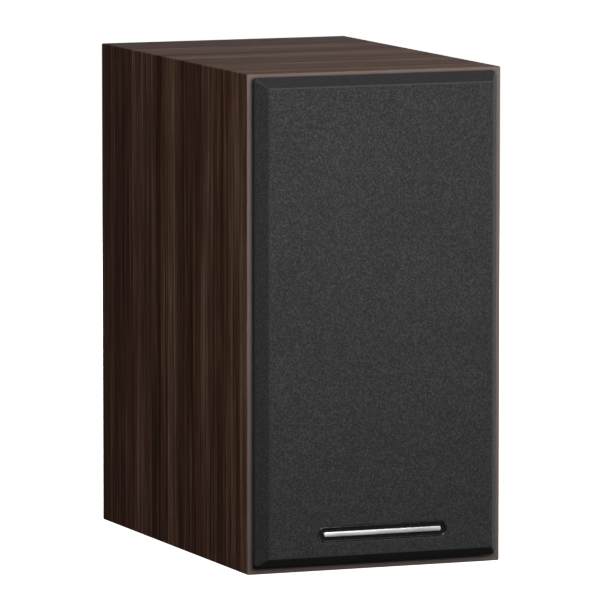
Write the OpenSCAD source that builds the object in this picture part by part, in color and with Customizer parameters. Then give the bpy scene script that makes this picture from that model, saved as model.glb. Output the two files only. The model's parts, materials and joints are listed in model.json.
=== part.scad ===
// Two-way bookshelf loudspeaker: a folded wood-effect cabinet, a bevelled cloth grille that pulls
// off on four pegs, a cone woofer, a dome tweeter, a rear port and a recessed terminal cup.
// X runs to the right as seen from the front, Z is up, and the front faces -Y. The origin lies
// under the middle of the whole speaker, on the surface that it stands on.

/* [Cabinet] */
// Width of the cabinet
cab_w = 169; // [167:1:200]
// Height of the cabinet
cab_h = 310; // [308:1:340]
// Depth of the cabinet without its grille
cab_d = 259; // [250:1:300]
// Thickness of the folded side, top and bottom panels
wall_t = 12; // [9:0.5:12]
// Thickness of the front baffle
baffle_t = 18; // [15:1:22]
// Thickness of the rear panel
rear_t = 15; // [12:1:18]
// How far the rear panel sits inside the cabinet's rear edges
rear_inset = 3; // [3:0.5:6]

/* [Grille] */
// Width of the covered grille at its back
grille_w = 161.6; // [158:0.2:165]
// Height of the covered grille at its back
grille_h = 303.2; // [298:0.2:306]
// Thickness of the covered grille, back to front
grille_t = 13.6; // [12:0.2:16]
// Height of its straight side, before the bevel starts
grille_side = 4.2; // [3:0.2:5]
// Width that the bevel takes off each side
bevel_inset = 6.2; // [4:0.2:8]
// Radius of the grille's corners
grille_corner = 3; // [2:0.5:5]
// Thickness of the stretched cloth
cloth_t = 0.6; // [0.4:0.1:0.8]
// Width of the grille frame's side rails
rail_w = 20; // [18:0.5:21]
// How far the grille is seated to the right of the cabinet's middle
grille_seat_x = -0.85; // [-1:0.05:1]
// How far the grille is seated above the cabinet's middle
grille_seat_z = 1.5; // [0:0.1:1.5]
// Radius of a grille peg
peg_r = 3; // [2.5:0.1:3.2]

/* [Badge] */
// Length of the badge's recessed tray
badge_w = 85.5; // [60:0.5:90]
// Height of the badge's recessed tray
badge_h = 9.3; // [8:0.1:10]
// Height of the badge's middle above the cabinet's foot
badge_z = 24.6; // [22:0.1:27]
// Length of the plain bar in the badge
bar_w = 78; // [50:1:80]
// Height of the plain bar in the badge
bar_h = 3; // [2:0.5:5]

/* [Woofer] */
// Height of the woofer's middle
woofer_z = 105; // [100:1:106]
// Radius of the woofer's flange
woofer_r = 69; // [69:0.5:70]
// Radius of the woofer magnet
woofer_magnet_r = 45; // [40:1:46]

/* [Tweeter] */
// Height of the tweeter's middle
tweeter_z = 236; // [234:1:240]
// Radius of the tweeter's faceplate
tweeter_r = 50; // [50:0.5:51]
// Radius of the tweeter magnet
tweeter_magnet_r = 35; // [32:1:38]

/* [Port] */
// Height of the port's middle
port_z = 215; // [205:1:225]
// Radius of the port's straight bore
port_bore_r = 21; // [18:0.5:22]
// Length of the port tube inside the cabinet
port_len = 110; // [80:5:115]

/* [Terminals] */
// Height of the terminal cup's middle
term_z = 75; // [70:1:85]
// Distance between the two binding posts
post_pitch = 19.05; // [19:0.05:22]
// Radius of the threaded stud
stud_r = 3; // [3:0.1:3.2]
// Radius of the socket bored into the stud's end
socket_r = 2; // [2:0.01:2.1]
// Radius of a clamp knob
knob_r = 7.3; // [6.5:0.1:7.3]

/* [Hidden] */
$fn = 96;

// Gaps: between loose neighbours, round a running shaft, and round a fastener
loose_gap = 0.3;
running_gap = 0.05;
fastener_gap = 0.05;
// Extra depth of a cut that breaks through a face
cut = 1;

// Places along the depth: the cabinet's front and rear faces, and the rear panel's outer face
grille_gap = 0.5;
front_y = (grille_gap + grille_t - cab_d) / 2;
rear_y = front_y + cab_d;
rear_face_y = rear_y - rear_inset;
inner_w = cab_w - 2 * wall_t;
inner_h = cab_h - 2 * wall_t;

// Grille frame, inside the cloth: the bevel is moved in by the cloth's thickness
bevel_rise = grille_t - grille_side;
bevel_len = norm([bevel_rise, bevel_inset]);
frame_side = grille_side - cloth_t * (bevel_len - bevel_rise) / bevel_inset;
frame_inset = bevel_inset - cloth_t * (1 - (bevel_len - bevel_inset) / bevel_rise);
grille_mid_z = cab_h / 2 + grille_seat_z;
window_low = 36;
window_high = cab_h - 29;
crossbar_z = 180;
crossbar_h = 8;
window_corner = 8;
peg_x = 63;
peg_z_from_edge = 21;
peg_root = 6;
peg_reach = 8;
peg_tip = 1.5;
socket_wall = 1.9;
socket_depth = 11;
tray_depth = 2.4;
tray_floor = 1.2;
tray_rim = 0.7;
tray_corner = 3.6;

// Countersunk wood screws
screw_shank_r = 1.7;
screw_head_r = 3.4;
screw_head_h = 2.2;
screw_recess = 0.2;
hex_key_r = 1.45;
hex_key_depth = 1.3;
driver_screw_len = 15;
terminal_screw_len = 13;
crossover_screw_len = 13;

// Woofer, measured forward from the cabinet's front face and outward from its axis
flange_t = 4.5;
gasket_t = 1;
gasket_inset = 0.5;
woofer_hole_r = 60;
woofer_screw_pitch_r = woofer_r - 4.25;
land_r = 60.5;
land_z = -3;
roll_mid_r = 54;
roll_r = 3;
rubber_t = 0.8;
cone_rim_r = 51;
cone_top_r = 47.8;
cone_neck_r = 13.6;
cone_neck_z = -31;
cone_foot = 2;
paper_t = 0.7;
woofer_coil_r = 12.75;
former_t = 0.25;
woofer_winding_r = 13.3;
woofer_former_end_z = -55;
woofer_winding_z = [-50, -39];
spider_z = -34;
spider_t = 0.6;
spider_r = 34.3;
wave_r = 1.35;
wave_count = 5;
wave_start_r = 14.4;
basket_wall_r = 57;
basket_wall_end_z = -12;
leg_t = 2;
leg_window_z = [-33, -16];
leg_window = [80, 48];
ledge_r = 28;
ledge_outer_r = 35;
basket_floor_z = -42;
floor_r = 34;
floor_hole_r = 19;
strip_foot = [16, 8, 1.6];
strip_foot_y = 34.5;
woofer_plate_r = 42;
woofer_plate_t = 5;
woofer_magnet_t = 15;
woofer_magnet_hole_r = 22;
dust_cap_r = 19;
dust_cap_h = 7;
glue_t = 0.1;
cone_slope = (land_z - cone_neck_z) / (cone_top_r - cone_neck_r);
lead_x = 6;
strip_z = -36;
strip_t = 1.6;
strip_w = 22;
strip_y = 36.5;
woofer_tab_y = 50;
woofer_tab_len = 10;
tab_margin = 2;

// Tweeter, measured the same way
faceplate_t = 4;
tweeter_hole_r = 41;
tweeter_screw_pitch_r = tweeter_r - 4.5;
horn_r = 33;
throat_r = 16;
throat_z = -4.2;
horn_curve_z = 1.6 * throat_z;
horn_curve_end = 156;
horn_steps = 10;
chamber_r = 17.8;
hub_r = 34;
hub_foot = 2;
skirt_z = -5.4;
dome_r = 12.85;
dome_h = 5.2;
film_t = 0.25;
small_roll_mid_r = 14.1;
small_roll_r = 0.9;
small_foot_w = 2.4;
tweeter_coil_r = 12.6;
tweeter_winding_r = 12.95;
tweeter_former_end_z = -13;
tweeter_winding_z = [-11.5, -8.5];
tweeter_plate_z = -8;
tweeter_plate_t = 4;
tweeter_magnet_t = 14;
tweeter_magnet_hole_r = 17.5;
tweeter_yoke_t = 4;
plate_inset = 2;
tweeter_strip = [24, 10, 1.6];
tweeter_strip_y = -20;
tab_w = 2.8;
tab_t = 0.8;
tweeter_tab_len = 5;
tweeter_back_z = tweeter_plate_z - tweeter_plate_t - tweeter_magnet_t - tweeter_yoke_t;

// Port, measured outward from the rear panel's face
port_wall = 2.5;
flare_w = 11;
flare_z = -16;
flare_steps = 12;
port_lip_z = 2;
port_lip_w = 4;
port_lip_chamfer = 1;
port_back_rise = 14;
port_hole_gap = 0.4;
port_hole_r = port_bore_r + flare_w + port_hole_gap;

// Terminal cup and binding posts, measured outward from the rear panel's face
cup_gasket_t = 0.8;
cup_flange_t = 2;
cup_wall = 2.5;
cup_w = 70;
cup_h = 48;
cup_corner = 6.5;
cup_floor_z = -28;
cup_floor_t = 3;
flange_over = 11;
flange_corner = 8;
cup_screw_inset = 5;
cup_gasket_inset = 0.5;
collar_r = 6.5;
collar_t = 4.5;
spigot_r = 4;
washer_t = 1.2;
washer_r = 6.2;
knob_end_z = -1;
socket_len = 19;
stud_tail = 10;
cross_hole_r = 1.25;
cross_hole_gap = 1.25;
flute_count = 14;
flute_r = 0.8;
flute_out = 0.2;
knob_foot = 3;
knob_chamfer = 1.2;
nut_r = 5.77;
nut_t = 4;
lug_t = 0.8;
lug_r = 5.5;
lug_w = 5;
lug_reach = 17;
washer_z = cup_floor_z + collar_t + loose_gap;
knob_z = washer_z + washer_t + loose_gap;

// Crossover board on the bottom panel
board_size = [96, 80, 1.6];
board_mid_y = 5;
spacer_h = 5;
spacer_r = 4;
board_hole_inset = 5;
board_top_z = wall_t + spacer_h + board_size.z;
// Air-cored coils: place of the middle, then outer radius, inner radius and height
woofer_choke_at = [-25, -6];
woofer_choke = [20, 11, 18];
tweeter_choke_at = [26, -14];
tweeter_choke = [14, 8, 12];
capacitor_y = 22;
capacitor_r = 9;
capacitor_len = 34;
resistor_at = [-18, 37];
resistor = [26, 9, 9];
leg_r = 0.5;
leg_len = 2;
part_lift = 0.2;

// Wadding pads
pad_t = 10;
side_pad = [pad_t, 150, 170];
top_pad = [110, 120, pad_t];
pad_mid_y = 10;

// Hook-up wires: hand-laid routes for the wires at positive X, mirrored for the other side
wire_r = 1.3;
wire_sides = 8;
input_route = [
    [9.5, 100.4, 63], [9.5, 100.3, 56], [9.5, 98, 44], [10, 88, 34], [10, 70, 31],
    [10, 54, 32], [10, 45, 27], [10, 43.5, 22], [10, 43.5, 18.7]
];
woofer_route = [
    [6, -74.9, 155], [6.5, -68, 155.5], [10, -52, 151], [14, -42, 130], [15, -40, 100],
    [14, -39, 70], [12, -35, 45], [10, -31, 30], [10, -30, 23], [10, -30, 18.7]
];
tweeter_route = [
    [6, -89.5, 214], [6.3, -89.2, 206], [10, -80, 192], [20, -45, 178], [26, -18, 150],
    [27, -6, 115], [24, 0, 80], [10, 6, 50], [5.5, 8, 34], [5, 8, 23], [5, 8, 18.7]
];
// Bare braided leads from the woofer's terminal strip to its cone, in the woofer's own frame
tinsel_r = 0.5;
tinsel_route = [
    [lead_x, 42, -35.9], [lead_x, 42.6, -32], [lead_x, 40, -28], [lead_x, 35, -26.5],
    [lead_x, 30, -26], [lead_x, 27, -24.5], [lead_x, 26, -22.8]
];

// Colours
walnut = "#3b2c25";
walnut_top = "#52443f";
raw_board = "#b59468";
black_plastic = "#1d1d1f";
cloth_grey = "#38383a";
silver = "#c9cacc";
steel = "#9b9da1";
ferrite = "#3a3b3e";
copper = "#b5642f";
red_nylon = "#b3201c";
black_nylon = "#202022";
foam = "#2a2a2b";

// Local frames: forward out of the front face, or outward from the rear panel
module at_front(x, z) translate([x, front_y, z]) rotate([90, 0, 0]) children();
module at_rear(x, z) translate([x, rear_face_y, z]) rotate([-90, 0, 0]) children();

module rounded_rect(w, h, r) {
    square([w - 2 * r, h], center = true);
    square([w, h - 2 * r], center = true);
    for (x = [-1, 1], y = [-1, 1]) translate([x * (w / 2 - r), y * (h / 2 - r)]) circle(r);
}

module slab(w, h, r, low, high) {
    translate([0, 0, low]) linear_extrude(high - low) rounded_rect(w, h, r);
}

module ring(outer_r, inner_r, low, high) {
    difference() {
        translate([0, 0, low]) cylinder(r = outer_r, h = high - low);
        translate([0, 0, low - cut]) cylinder(r = inner_r, h = high - low + 2 * cut);
    }
}

module at_corners(r) {
    for (turn = [45 : 90 : 315]) rotate(turn) translate([r, 0, 0]) children();
}

function arc(centre, radii, from, to, steps) = [
    for (i = [0 : steps]) let (a = from + (to - from) * i / steps)
        centre + [radii.x * cos(a), radii.y * sin(a)]
];

// A smooth curve through hand-laid points, and a tube of flat-sided rings along it
function knot(p, i) = p[max(0, min(len(p) - 1, i))];
function between(a, b, c, d, t) = 0.5 * (2 * b + (c - a) * t
    + (2 * a - 5 * b + 4 * c - d) * t * t + (3 * b - a - 3 * c + d) * t * t * t);
function smooth(p, steps) = concat([
    for (i = [0 : len(p) - 2], s = [0 : steps - 1])
        between(knot(p, i - 1), p[i], p[i + 1], knot(p, i + 2), s / steps)
], [p[len(p) - 1]]);
function unit(v) = v / norm(v);
function heading(p, i) = unit(knot(p, i + 1) - knot(p, i - 1));

module tube(route, r, steps = 3) {
    path = smooth(route, steps);
    last = len(path) - 1;
    points = [
        for (i = [0 : last]) let (t = heading(path, i), u = unit(cross(t, [1, 0, 0])))
            for (k = [0 : wire_sides - 1]) let (a = 360 * k / wire_sides)
                path[i] + r * (u * cos(a) + cross(t, u) * sin(a))
    ];
    sides = [
        for (i = [0 : last - 1], k = [0 : wire_sides - 1])
            let (a = i * wire_sides, next = (k + 1) % wire_sides)
                [a + k, a + wire_sides + k, a + wire_sides + next, a + next]
    ];
    polyhedron(points, concat([[for (k = [0 : wire_sides - 1]) k]], sides,
        [[for (k = [wire_sides - 1 : -1 : 0]) last * wire_sides + k]]));
}

// Countersunk screw that sits just below the face at the origin, its shank down -Z, and its hole
module screw(length) translate([0, 0, -screw_recess]) difference() {
    union() {
        translate([0, 0, -screw_head_h])
            cylinder(h = screw_head_h, r1 = screw_shank_r, r2 = screw_head_r);
        translate([0, 0, -length]) cylinder(h = length - screw_head_h, r = screw_shank_r);
    }
    translate([0, 0, -hex_key_depth]) cylinder(h = hex_key_depth + cut, r = hex_key_r, $fn = 6);
}

module screw_hole(length) translate([0, 0, -screw_recess]) {
    translate([0, 0, -screw_head_h]) cylinder(
        h = screw_head_h, r1 = screw_shank_r + fastener_gap, r2 = screw_head_r + fastener_gap);
    translate([0, 0, -length - cut])
        cylinder(h = length + cut - screw_head_h, r = screw_shank_r + fastener_gap);
    cylinder(h = screw_recess + cut, r = screw_head_r + fastener_gap);
}

// ---- Cabinet ----

module wall(outline) {
    translate([0, rear_y, 0]) rotate([90, 0, 0]) linear_extrude(cab_d) polygon(outline);
}

module side_wall() {
    wall([[-cab_w / 2, 0], [-cab_w / 2 + wall_t, wall_t],
        [-cab_w / 2 + wall_t, cab_h - wall_t], [-cab_w / 2, cab_h]]);
}

module flat_wall() {
    wall([[-cab_w / 2, 0], [cab_w / 2, 0],
        [cab_w / 2 - wall_t, wall_t], [-cab_w / 2 + wall_t, wall_t]]);
}

module left_side_panel() color(walnut) side_wall();

module right_side_panel() color(walnut) mirror([1, 0, 0]) side_wall();

module bottom_panel() color(walnut) difference() {
    flat_wall();
    crossover_screw_holes();
}

module top_panel() color(walnut_top) translate([0, 0, cab_h]) mirror([0, 0, 1]) flat_wall();

module inner_board(y, t) translate([-inner_w / 2, y, wall_t]) cube([inner_w, t, inner_h]);

module at_pegs() {
    for (x = [-peg_x, peg_x], z = [peg_z_from_edge, cab_h - peg_z_from_edge])
        at_front(x, z) children();
}

module front_baffle() color(black_plastic) difference() {
    inner_board(front_y, baffle_t);
    at_front(0, woofer_z) {
        translate([0, 0, -flange_t - gasket_t])
            cylinder(r = woofer_r + loose_gap, h = flange_t + gasket_t + cut);
        translate([0, 0, -baffle_t - cut]) cylinder(r = woofer_hole_r, h = baffle_t);
        at_corners(woofer_screw_pitch_r) screw_hole(driver_screw_len);
    }
    at_front(0, tweeter_z) {
        translate([0, 0, -faceplate_t - gasket_t])
            cylinder(r = tweeter_r + loose_gap, h = faceplate_t + gasket_t + cut);
        translate([0, 0, -baffle_t - cut]) cylinder(r = tweeter_hole_r, h = baffle_t);
        at_corners(tweeter_screw_pitch_r) screw_hole(driver_screw_len);
    }
    at_pegs() translate([0, 0, -socket_depth])
        cylinder(r = peg_r + running_gap + socket_wall, h = socket_depth + cut);
}

module rear_panel() color(black_plastic) difference() {
    inner_board(rear_face_y - rear_t, rear_t);
    at_rear(0, port_z) translate([0, 0, -rear_t - cut]) cylinder(r = port_hole_r, h = rear_t + 2 * cut);
    at_rear(0, term_z) {
        slab(cup_w + 2 * cup_wall + loose_gap, cup_h + 2 * cup_wall + loose_gap,
            cup_corner + cup_wall, -rear_t - cut, cut);
        at_cup_screws() screw_hole(terminal_screw_len);
    }
}

module side_wadding() color(foam) for (side = [-1, 1])
    translate([side * (inner_w - pad_t) / 2, pad_mid_y, cab_h / 2 + pad_t])
        cube(side_pad, center = true);

module top_wadding() color(foam)
    translate([0, pad_mid_y, cab_h - wall_t - pad_t / 2]) cube(top_pad, center = true);

module grille_sockets() color(black_plastic) at_pegs() difference() {
    translate([0, 0, -socket_depth])
        cylinder(r = peg_r + running_gap + socket_wall, h = socket_depth);
    translate([0, 0, -socket_depth + cut]) cylinder(r = peg_r + running_gap, h = socket_depth);
}

// ---- Grille ----

// A block with bevelled front edges: the outline, cut by one bevelled prism each way
module bevelled_block(w, h, t, side, inset, corner) {
    function profile(width) = [[-width / 2, 0], [-width / 2, side], [-width / 2 + inset, t],
        [width / 2 - inset, t], [width / 2, side], [width / 2, 0]];
    intersection() {
        linear_extrude(t) rounded_rect(w, h, corner);
        rotate([90, 0, 0]) linear_extrude(h, center = true) polygon(profile(w));
        rotate([90, 0, 90]) linear_extrude(w, center = true) polygon(profile(h));
    }
}

module at_grille() at_front(grille_seat_x, grille_mid_z) translate([0, 0, grille_gap]) children();

module grille_inside() bevelled_block(grille_w - 2 * cloth_t, grille_h - 2 * cloth_t,
    grille_t - cloth_t, frame_side, frame_inset, grille_corner - cloth_t);

module frame_window(low, high) {
    translate([0, (low + high) / 2 - grille_mid_z, 0]) slab(
        grille_w - 2 * rail_w, high - low, window_corner, -cut, grille_t + cut);
}

// The badge tray's outline, from a depth behind the grille's front to just in front of it
module badge_pocket(depth, gap) at_front(0, badge_z) slab(badge_w + 2 * gap, badge_h + 2 * gap,
    tray_corner + gap, grille_gap + grille_t - depth, grille_gap + grille_t + cut);

module grille_frame() color(black_plastic) difference() {
    at_grille() grille_inside();
    at_grille() {
        frame_window(window_low, crossbar_z - crossbar_h / 2);
        frame_window(crossbar_z + crossbar_h / 2, window_high);
    }
    badge_pocket(tray_depth, fastener_gap);
    at_pegs() cylinder(r = peg_r + fastener_gap, h = grille_gap + peg_root);
}

module grille_cloth() color(cloth_grey) difference() {
    at_grille() difference() {
        bevelled_block(grille_w, grille_h, grille_t, grille_side, bevel_inset, grille_corner);
        grille_inside();
    }
    badge_pocket(tray_depth, fastener_gap);
}

module grille_pegs() color(black_plastic) at_pegs() {
    translate([0, 0, peg_tip - peg_reach])
        cylinder(r = peg_r, h = peg_reach - peg_tip + grille_gap + peg_root);
    translate([0, 0, -peg_reach]) cylinder(r1 = peg_r - peg_tip, r2 = peg_r, h = peg_tip);
}

module badge_plate() color(black_plastic) at_front(0, badge_z) difference() {
    slab(badge_w, badge_h, tray_corner,
        grille_gap + grille_t - tray_depth, grille_gap + grille_t);
    slab(badge_w - 2 * tray_rim, badge_h - 2 * tray_rim, tray_corner - tray_rim,
        grille_gap + grille_t - tray_floor, grille_gap + grille_t + cut);
}

module badge_bar() color(silver) at_front(0, badge_z)
    slab(bar_w, bar_h, bar_h / 3, grille_gap + grille_t - tray_floor, grille_gap + grille_t);

// ---- Tweeter ----

module tweeter_faceplate() color(black_plastic) at_front(0, tweeter_z) difference() {
    rotate_extrude() polygon(concat(
        [[tweeter_r, 0], [horn_r, 0]],
        arc([horn_r, horn_curve_z], [horn_r - throat_r, -horn_curve_z], 90, horn_curve_end,
            horn_steps),
        [[throat_r, throat_z], [throat_r, skirt_z], [chamber_r, skirt_z],
            [chamber_r, tweeter_plate_z], [hub_r, tweeter_plate_z],
            [hub_r + hub_foot, -faceplate_t], [tweeter_r, -faceplate_t]]));
    at_corners(tweeter_screw_pitch_r) screw_hole(driver_screw_len);
}

module tweeter_surround() color(foam) at_front(0, tweeter_z) {
    translate([0, 0, skirt_z - film_t]) rotate_extrude() {
        difference() {
            translate([small_roll_mid_r, 0]) circle(small_roll_r + film_t);
            translate([small_roll_mid_r, 0]) circle(small_roll_r);
            translate([0, -throat_r]) square([2 * throat_r, throat_r]);
        }
        translate([small_roll_mid_r + small_roll_r, 0]) square([small_foot_w, film_t]);
    }
}

module dome(r, h, t) {
    big_r = (r * r + h * h) / (2 * h);
    rotate_extrude() intersection() {
        difference() {
            translate([0, h - big_r]) circle(big_r);
            translate([0, h - big_r]) circle(big_r - t);
        }
        square([r, h]);
    }
}

module tweeter_dome() color(silver) at_front(0, tweeter_z)
    translate([0, 0, skirt_z - film_t]) dome(dome_r, dome_h, film_t);

module tweeter_coil_former() color(copper) at_front(0, tweeter_z)
    ring(tweeter_coil_r, tweeter_coil_r - film_t, tweeter_former_end_z, skirt_z - film_t);

module tweeter_coil_winding() color(copper) at_front(0, tweeter_z)
    ring(tweeter_winding_r, tweeter_coil_r, tweeter_winding_z[0], tweeter_winding_z[1]);

module tweeter_front_plate() color(steel) at_front(0, tweeter_z)
    ring(tweeter_magnet_r - plate_inset, tweeter_winding_r + loose_gap,
        tweeter_plate_z - tweeter_plate_t, tweeter_plate_z);

module tweeter_magnet() color(ferrite) at_front(0, tweeter_z)
    ring(tweeter_magnet_r, tweeter_magnet_hole_r,
        tweeter_plate_z - tweeter_plate_t - tweeter_magnet_t, tweeter_plate_z - tweeter_plate_t);

module tweeter_yoke() color(steel) at_front(0, tweeter_z) translate([0, 0, tweeter_back_z]) {
    cylinder(r = tweeter_magnet_r - plate_inset, h = tweeter_yoke_t);
    cylinder(r = tweeter_coil_r - film_t - loose_gap, h = tweeter_plate_z - tweeter_back_z);
}

// A fibre strip with two flat tabs
module tweeter_terminals() color(raw_board) at_front(0, tweeter_z) {
    translate([-tweeter_strip.x / 2, tweeter_strip_y, tweeter_back_z - tweeter_strip.z])
        cube(tweeter_strip);
    for (x = [-lead_x, lead_x]) translate([
        x - tab_w / 2, tweeter_strip_y - tweeter_tab_len, tweeter_back_z - tweeter_strip.z])
            cube([tab_w, tweeter_tab_len, tab_t]);
}

// ---- Woofer ----

// Flange, four-legged wall, spider ledge and floor ring, with a tab for the terminal strip
module woofer_basket() color(ferrite) at_front(0, woofer_z) difference() {
    union() {
        rotate_extrude() polygon([
            [woofer_r, 0], [land_r, 0], [land_r, land_z], [basket_wall_r, land_z],
            [basket_wall_r, basket_wall_end_z], [ledge_outer_r, spider_z], [ledge_r, spider_z],
            [ledge_r, spider_z - leg_t], [floor_r, spider_z - leg_t],
            [floor_r, basket_floor_z + leg_t], [floor_hole_r, basket_floor_z + leg_t],
            [floor_hole_r, basket_floor_z], [floor_r + leg_t, basket_floor_z],
            [floor_r + leg_t, spider_z - leg_t], [basket_wall_r + leg_t, basket_wall_end_z - leg_t / 2],
            [basket_wall_r + leg_t, -flange_t], [woofer_r, -flange_t]]);
        translate([-strip_foot.x / 2, strip_foot_y, strip_z - strip_t - strip_foot.z])
            cube(strip_foot);
    }
    for (turn = [0 : 90 : 270]) rotate(turn) translate([0, 0, leg_window_z[0]])
        linear_extrude(leg_window_z[1] - leg_window_z[0])
            polygon([[0, 0], [leg_window.x, -leg_window.y], leg_window]);
    at_corners(woofer_screw_pitch_r) screw_hole(driver_screw_len);
}

module woofer_surround() color(black_nylon) at_front(0, woofer_z)
    translate([0, 0, land_z]) rotate_extrude() {
        difference() {
            translate([roll_mid_r, 0]) circle(roll_r + rubber_t);
            translate([roll_mid_r, 0]) circle(roll_r);
            translate([0, -woofer_r]) square([2 * woofer_r, woofer_r]);
        }
        translate([cone_top_r, 0]) square([roll_mid_r - roll_r - cone_top_r, rubber_t]);
        translate([roll_mid_r + roll_r, 0])
            square([land_r - fastener_gap - roll_mid_r - roll_r, rubber_t]);
    }

module woofer_cone() color(ferrite) at_front(0, woofer_z) rotate_extrude() polygon([
    [woofer_coil_r, cone_neck_z], [cone_neck_r, cone_neck_z], [cone_top_r, land_z],
    [cone_rim_r, land_z], [cone_rim_r, land_z - paper_t],
    [cone_top_r + paper_t / 2, land_z - paper_t], [cone_neck_r, cone_neck_z - cone_foot / 2],
    [cone_neck_r, cone_neck_z - cone_foot], [woofer_coil_r, cone_neck_z - cone_foot]]);

module woofer_dust_cap() color(ferrite) at_front(0, woofer_z)
    translate([0, 0, cone_neck_z + cone_slope * (dust_cap_r - cone_neck_r) + glue_t])
        dome(dust_cap_r, dust_cap_h, paper_t);

// Corrugated suspension disc: alternate half circles from the coil out to the basket's ledge
module woofer_spider() color(copper) at_front(0, woofer_z)
    translate([0, 0, spider_z]) rotate_extrude() {
        for (i = [0 : wave_count - 1]) difference() {
            translate([wave_start_r + wave_r * (2 * i + 1), spider_t / 2]) difference() {
                circle(wave_r + spider_t / 2);
                circle(wave_r - spider_t / 2);
            }
            translate([0, spider_t / 2 - (i % 2 == 0 ? 2 * wave_r : 0)])
                square([spider_r, 2 * wave_r]);
        }
        translate([woofer_coil_r, 0]) square([wave_start_r - woofer_coil_r, spider_t]);
        translate([wave_start_r + 2 * wave_r * wave_count, 0])
            square([spider_r - wave_start_r - 2 * wave_r * wave_count, spider_t]);
    }

module woofer_coil_former() color(raw_board) at_front(0, woofer_z)
    ring(woofer_coil_r, woofer_coil_r - former_t, woofer_former_end_z, cone_neck_z);

module woofer_coil_winding() color(copper) at_front(0, woofer_z)
    ring(woofer_winding_r, woofer_coil_r, woofer_winding_z[0], woofer_winding_z[1]);

module woofer_front_plate() color(steel) at_front(0, woofer_z)
    ring(woofer_plate_r, woofer_winding_r + loose_gap,
        basket_floor_z - woofer_plate_t, basket_floor_z);

module woofer_magnet() color(ferrite) at_front(0, woofer_z)
    ring(woofer_magnet_r, woofer_magnet_hole_r,
        basket_floor_z - woofer_plate_t - woofer_magnet_t, basket_floor_z - woofer_plate_t);

module woofer_yoke() color(steel) at_front(0, woofer_z)
    translate([0, 0, basket_floor_z - 2 * woofer_plate_t - woofer_magnet_t]) {
        cylinder(r = woofer_plate_r, h = woofer_plate_t);
        cylinder(r = woofer_coil_r - former_t - loose_gap,
            h = 2 * woofer_plate_t + woofer_magnet_t);
    }

// A fibre strip behind the basket's ledge, with two flat tabs pointing back
module woofer_terminals() color(raw_board) at_front(0, woofer_z) {
    translate([-strip_w / 2, strip_y, strip_z - strip_t])
        cube([strip_w, woofer_tab_y + tab_margin - strip_y, strip_t]);
    for (x = [-lead_x, lead_x]) translate([
        x - tab_w / 2, woofer_tab_y - tab_t / 2, strip_z - strip_t - woofer_tab_len])
            cube([tab_w, tab_t, woofer_tab_len]);
}

module woofer_tinsel_leads() color(copper) at_front(0, woofer_z)
    for (side = [0, 1]) mirror([side, 0, 0]) tube(tinsel_route, tinsel_r);

module driver_gaskets() color(foam) {
    at_front(0, woofer_z) difference() {
        ring(woofer_r - gasket_inset, woofer_hole_r, -flange_t - gasket_t, -flange_t);
        at_corners(woofer_screw_pitch_r) screw_hole(driver_screw_len);
    }
    at_front(0, tweeter_z) difference() {
        ring(tweeter_r - gasket_inset, tweeter_hole_r, -faceplate_t - gasket_t, -faceplate_t);
        at_corners(tweeter_screw_pitch_r) screw_hole(driver_screw_len);
    }
}

module driver_screws() color(steel) {
    at_front(0, woofer_z) at_corners(woofer_screw_pitch_r) screw(driver_screw_len);
    at_front(0, tweeter_z) at_corners(tweeter_screw_pitch_r) screw(driver_screw_len);
}

// ---- Port ----

module port_tube() color(black_plastic) at_rear(0, port_z) rotate_extrude() polygon(concat(
    [[port_bore_r, -port_len]],
    arc([port_bore_r + flare_w, flare_z], [flare_w, port_lip_z - flare_z], 180, 90, flare_steps),
    [[port_hole_r + port_lip_w - port_lip_chamfer, port_lip_z],
        [port_hole_r + port_lip_w, port_lip_z - port_lip_chamfer],
        [port_hole_r + port_lip_w, 0], [port_bore_r + flare_w, 0]],
    arc([port_bore_r + flare_w, flare_z], [flare_w - port_wall, port_back_rise], 90, 180, flare_steps),
    [[port_bore_r + port_wall, -port_len]]));

// ---- Rear terminals ----

module at_cup_screws() {
    for (x = [-1, 1], y = [-1, 1]) translate([
        x * (cup_w / 2 + flange_over - cup_screw_inset),
        y * (cup_h / 2 + flange_over - cup_screw_inset),
        cup_gasket_t + cup_flange_t]) children();
}

module at_posts() for (x = [-1, 1]) at_rear(x * post_pitch / 2, term_z) children();

module at_red() at_rear(-post_pitch / 2, term_z) children();

module at_black() at_rear(post_pitch / 2, term_z) children();

module terminal_cup() color(black_plastic) difference() {
    at_rear(0, term_z) difference() {
        union() {
            slab(cup_w + 2 * flange_over, cup_h + 2 * flange_over, flange_corner,
                cup_gasket_t, cup_gasket_t + cup_flange_t);
            slab(cup_w + 2 * cup_wall, cup_h + 2 * cup_wall, cup_corner + cup_wall,
                cup_floor_z - cup_floor_t, cup_gasket_t + cup_flange_t);
        }
        slab(cup_w, cup_h, cup_corner, cup_floor_z, cut + cup_gasket_t + cup_flange_t);
        at_cup_screws() screw_hole(terminal_screw_len);
    }
    at_posts() translate([0, 0, cup_floor_z - cup_floor_t - cut])
        cylinder(r = spigot_r + fastener_gap, h = cup_floor_t + 2 * cut);
}

module terminal_gasket() color(foam) at_rear(0, term_z) difference() {
    slab(cup_w + 2 * flange_over - 2 * cup_gasket_inset,
        cup_h + 2 * flange_over - 2 * cup_gasket_inset, flange_corner - cup_gasket_inset,
        0, cup_gasket_t);
    slab(cup_w + 2 * cup_wall + loose_gap, cup_h + 2 * cup_wall + loose_gap,
        cup_corner + cup_wall, -cut, cut + cup_gasket_t);
    at_cup_screws() screw_hole(terminal_screw_len);
}

module terminal_screws() color(steel) at_rear(0, term_z) at_cup_screws() screw(terminal_screw_len);

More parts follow.
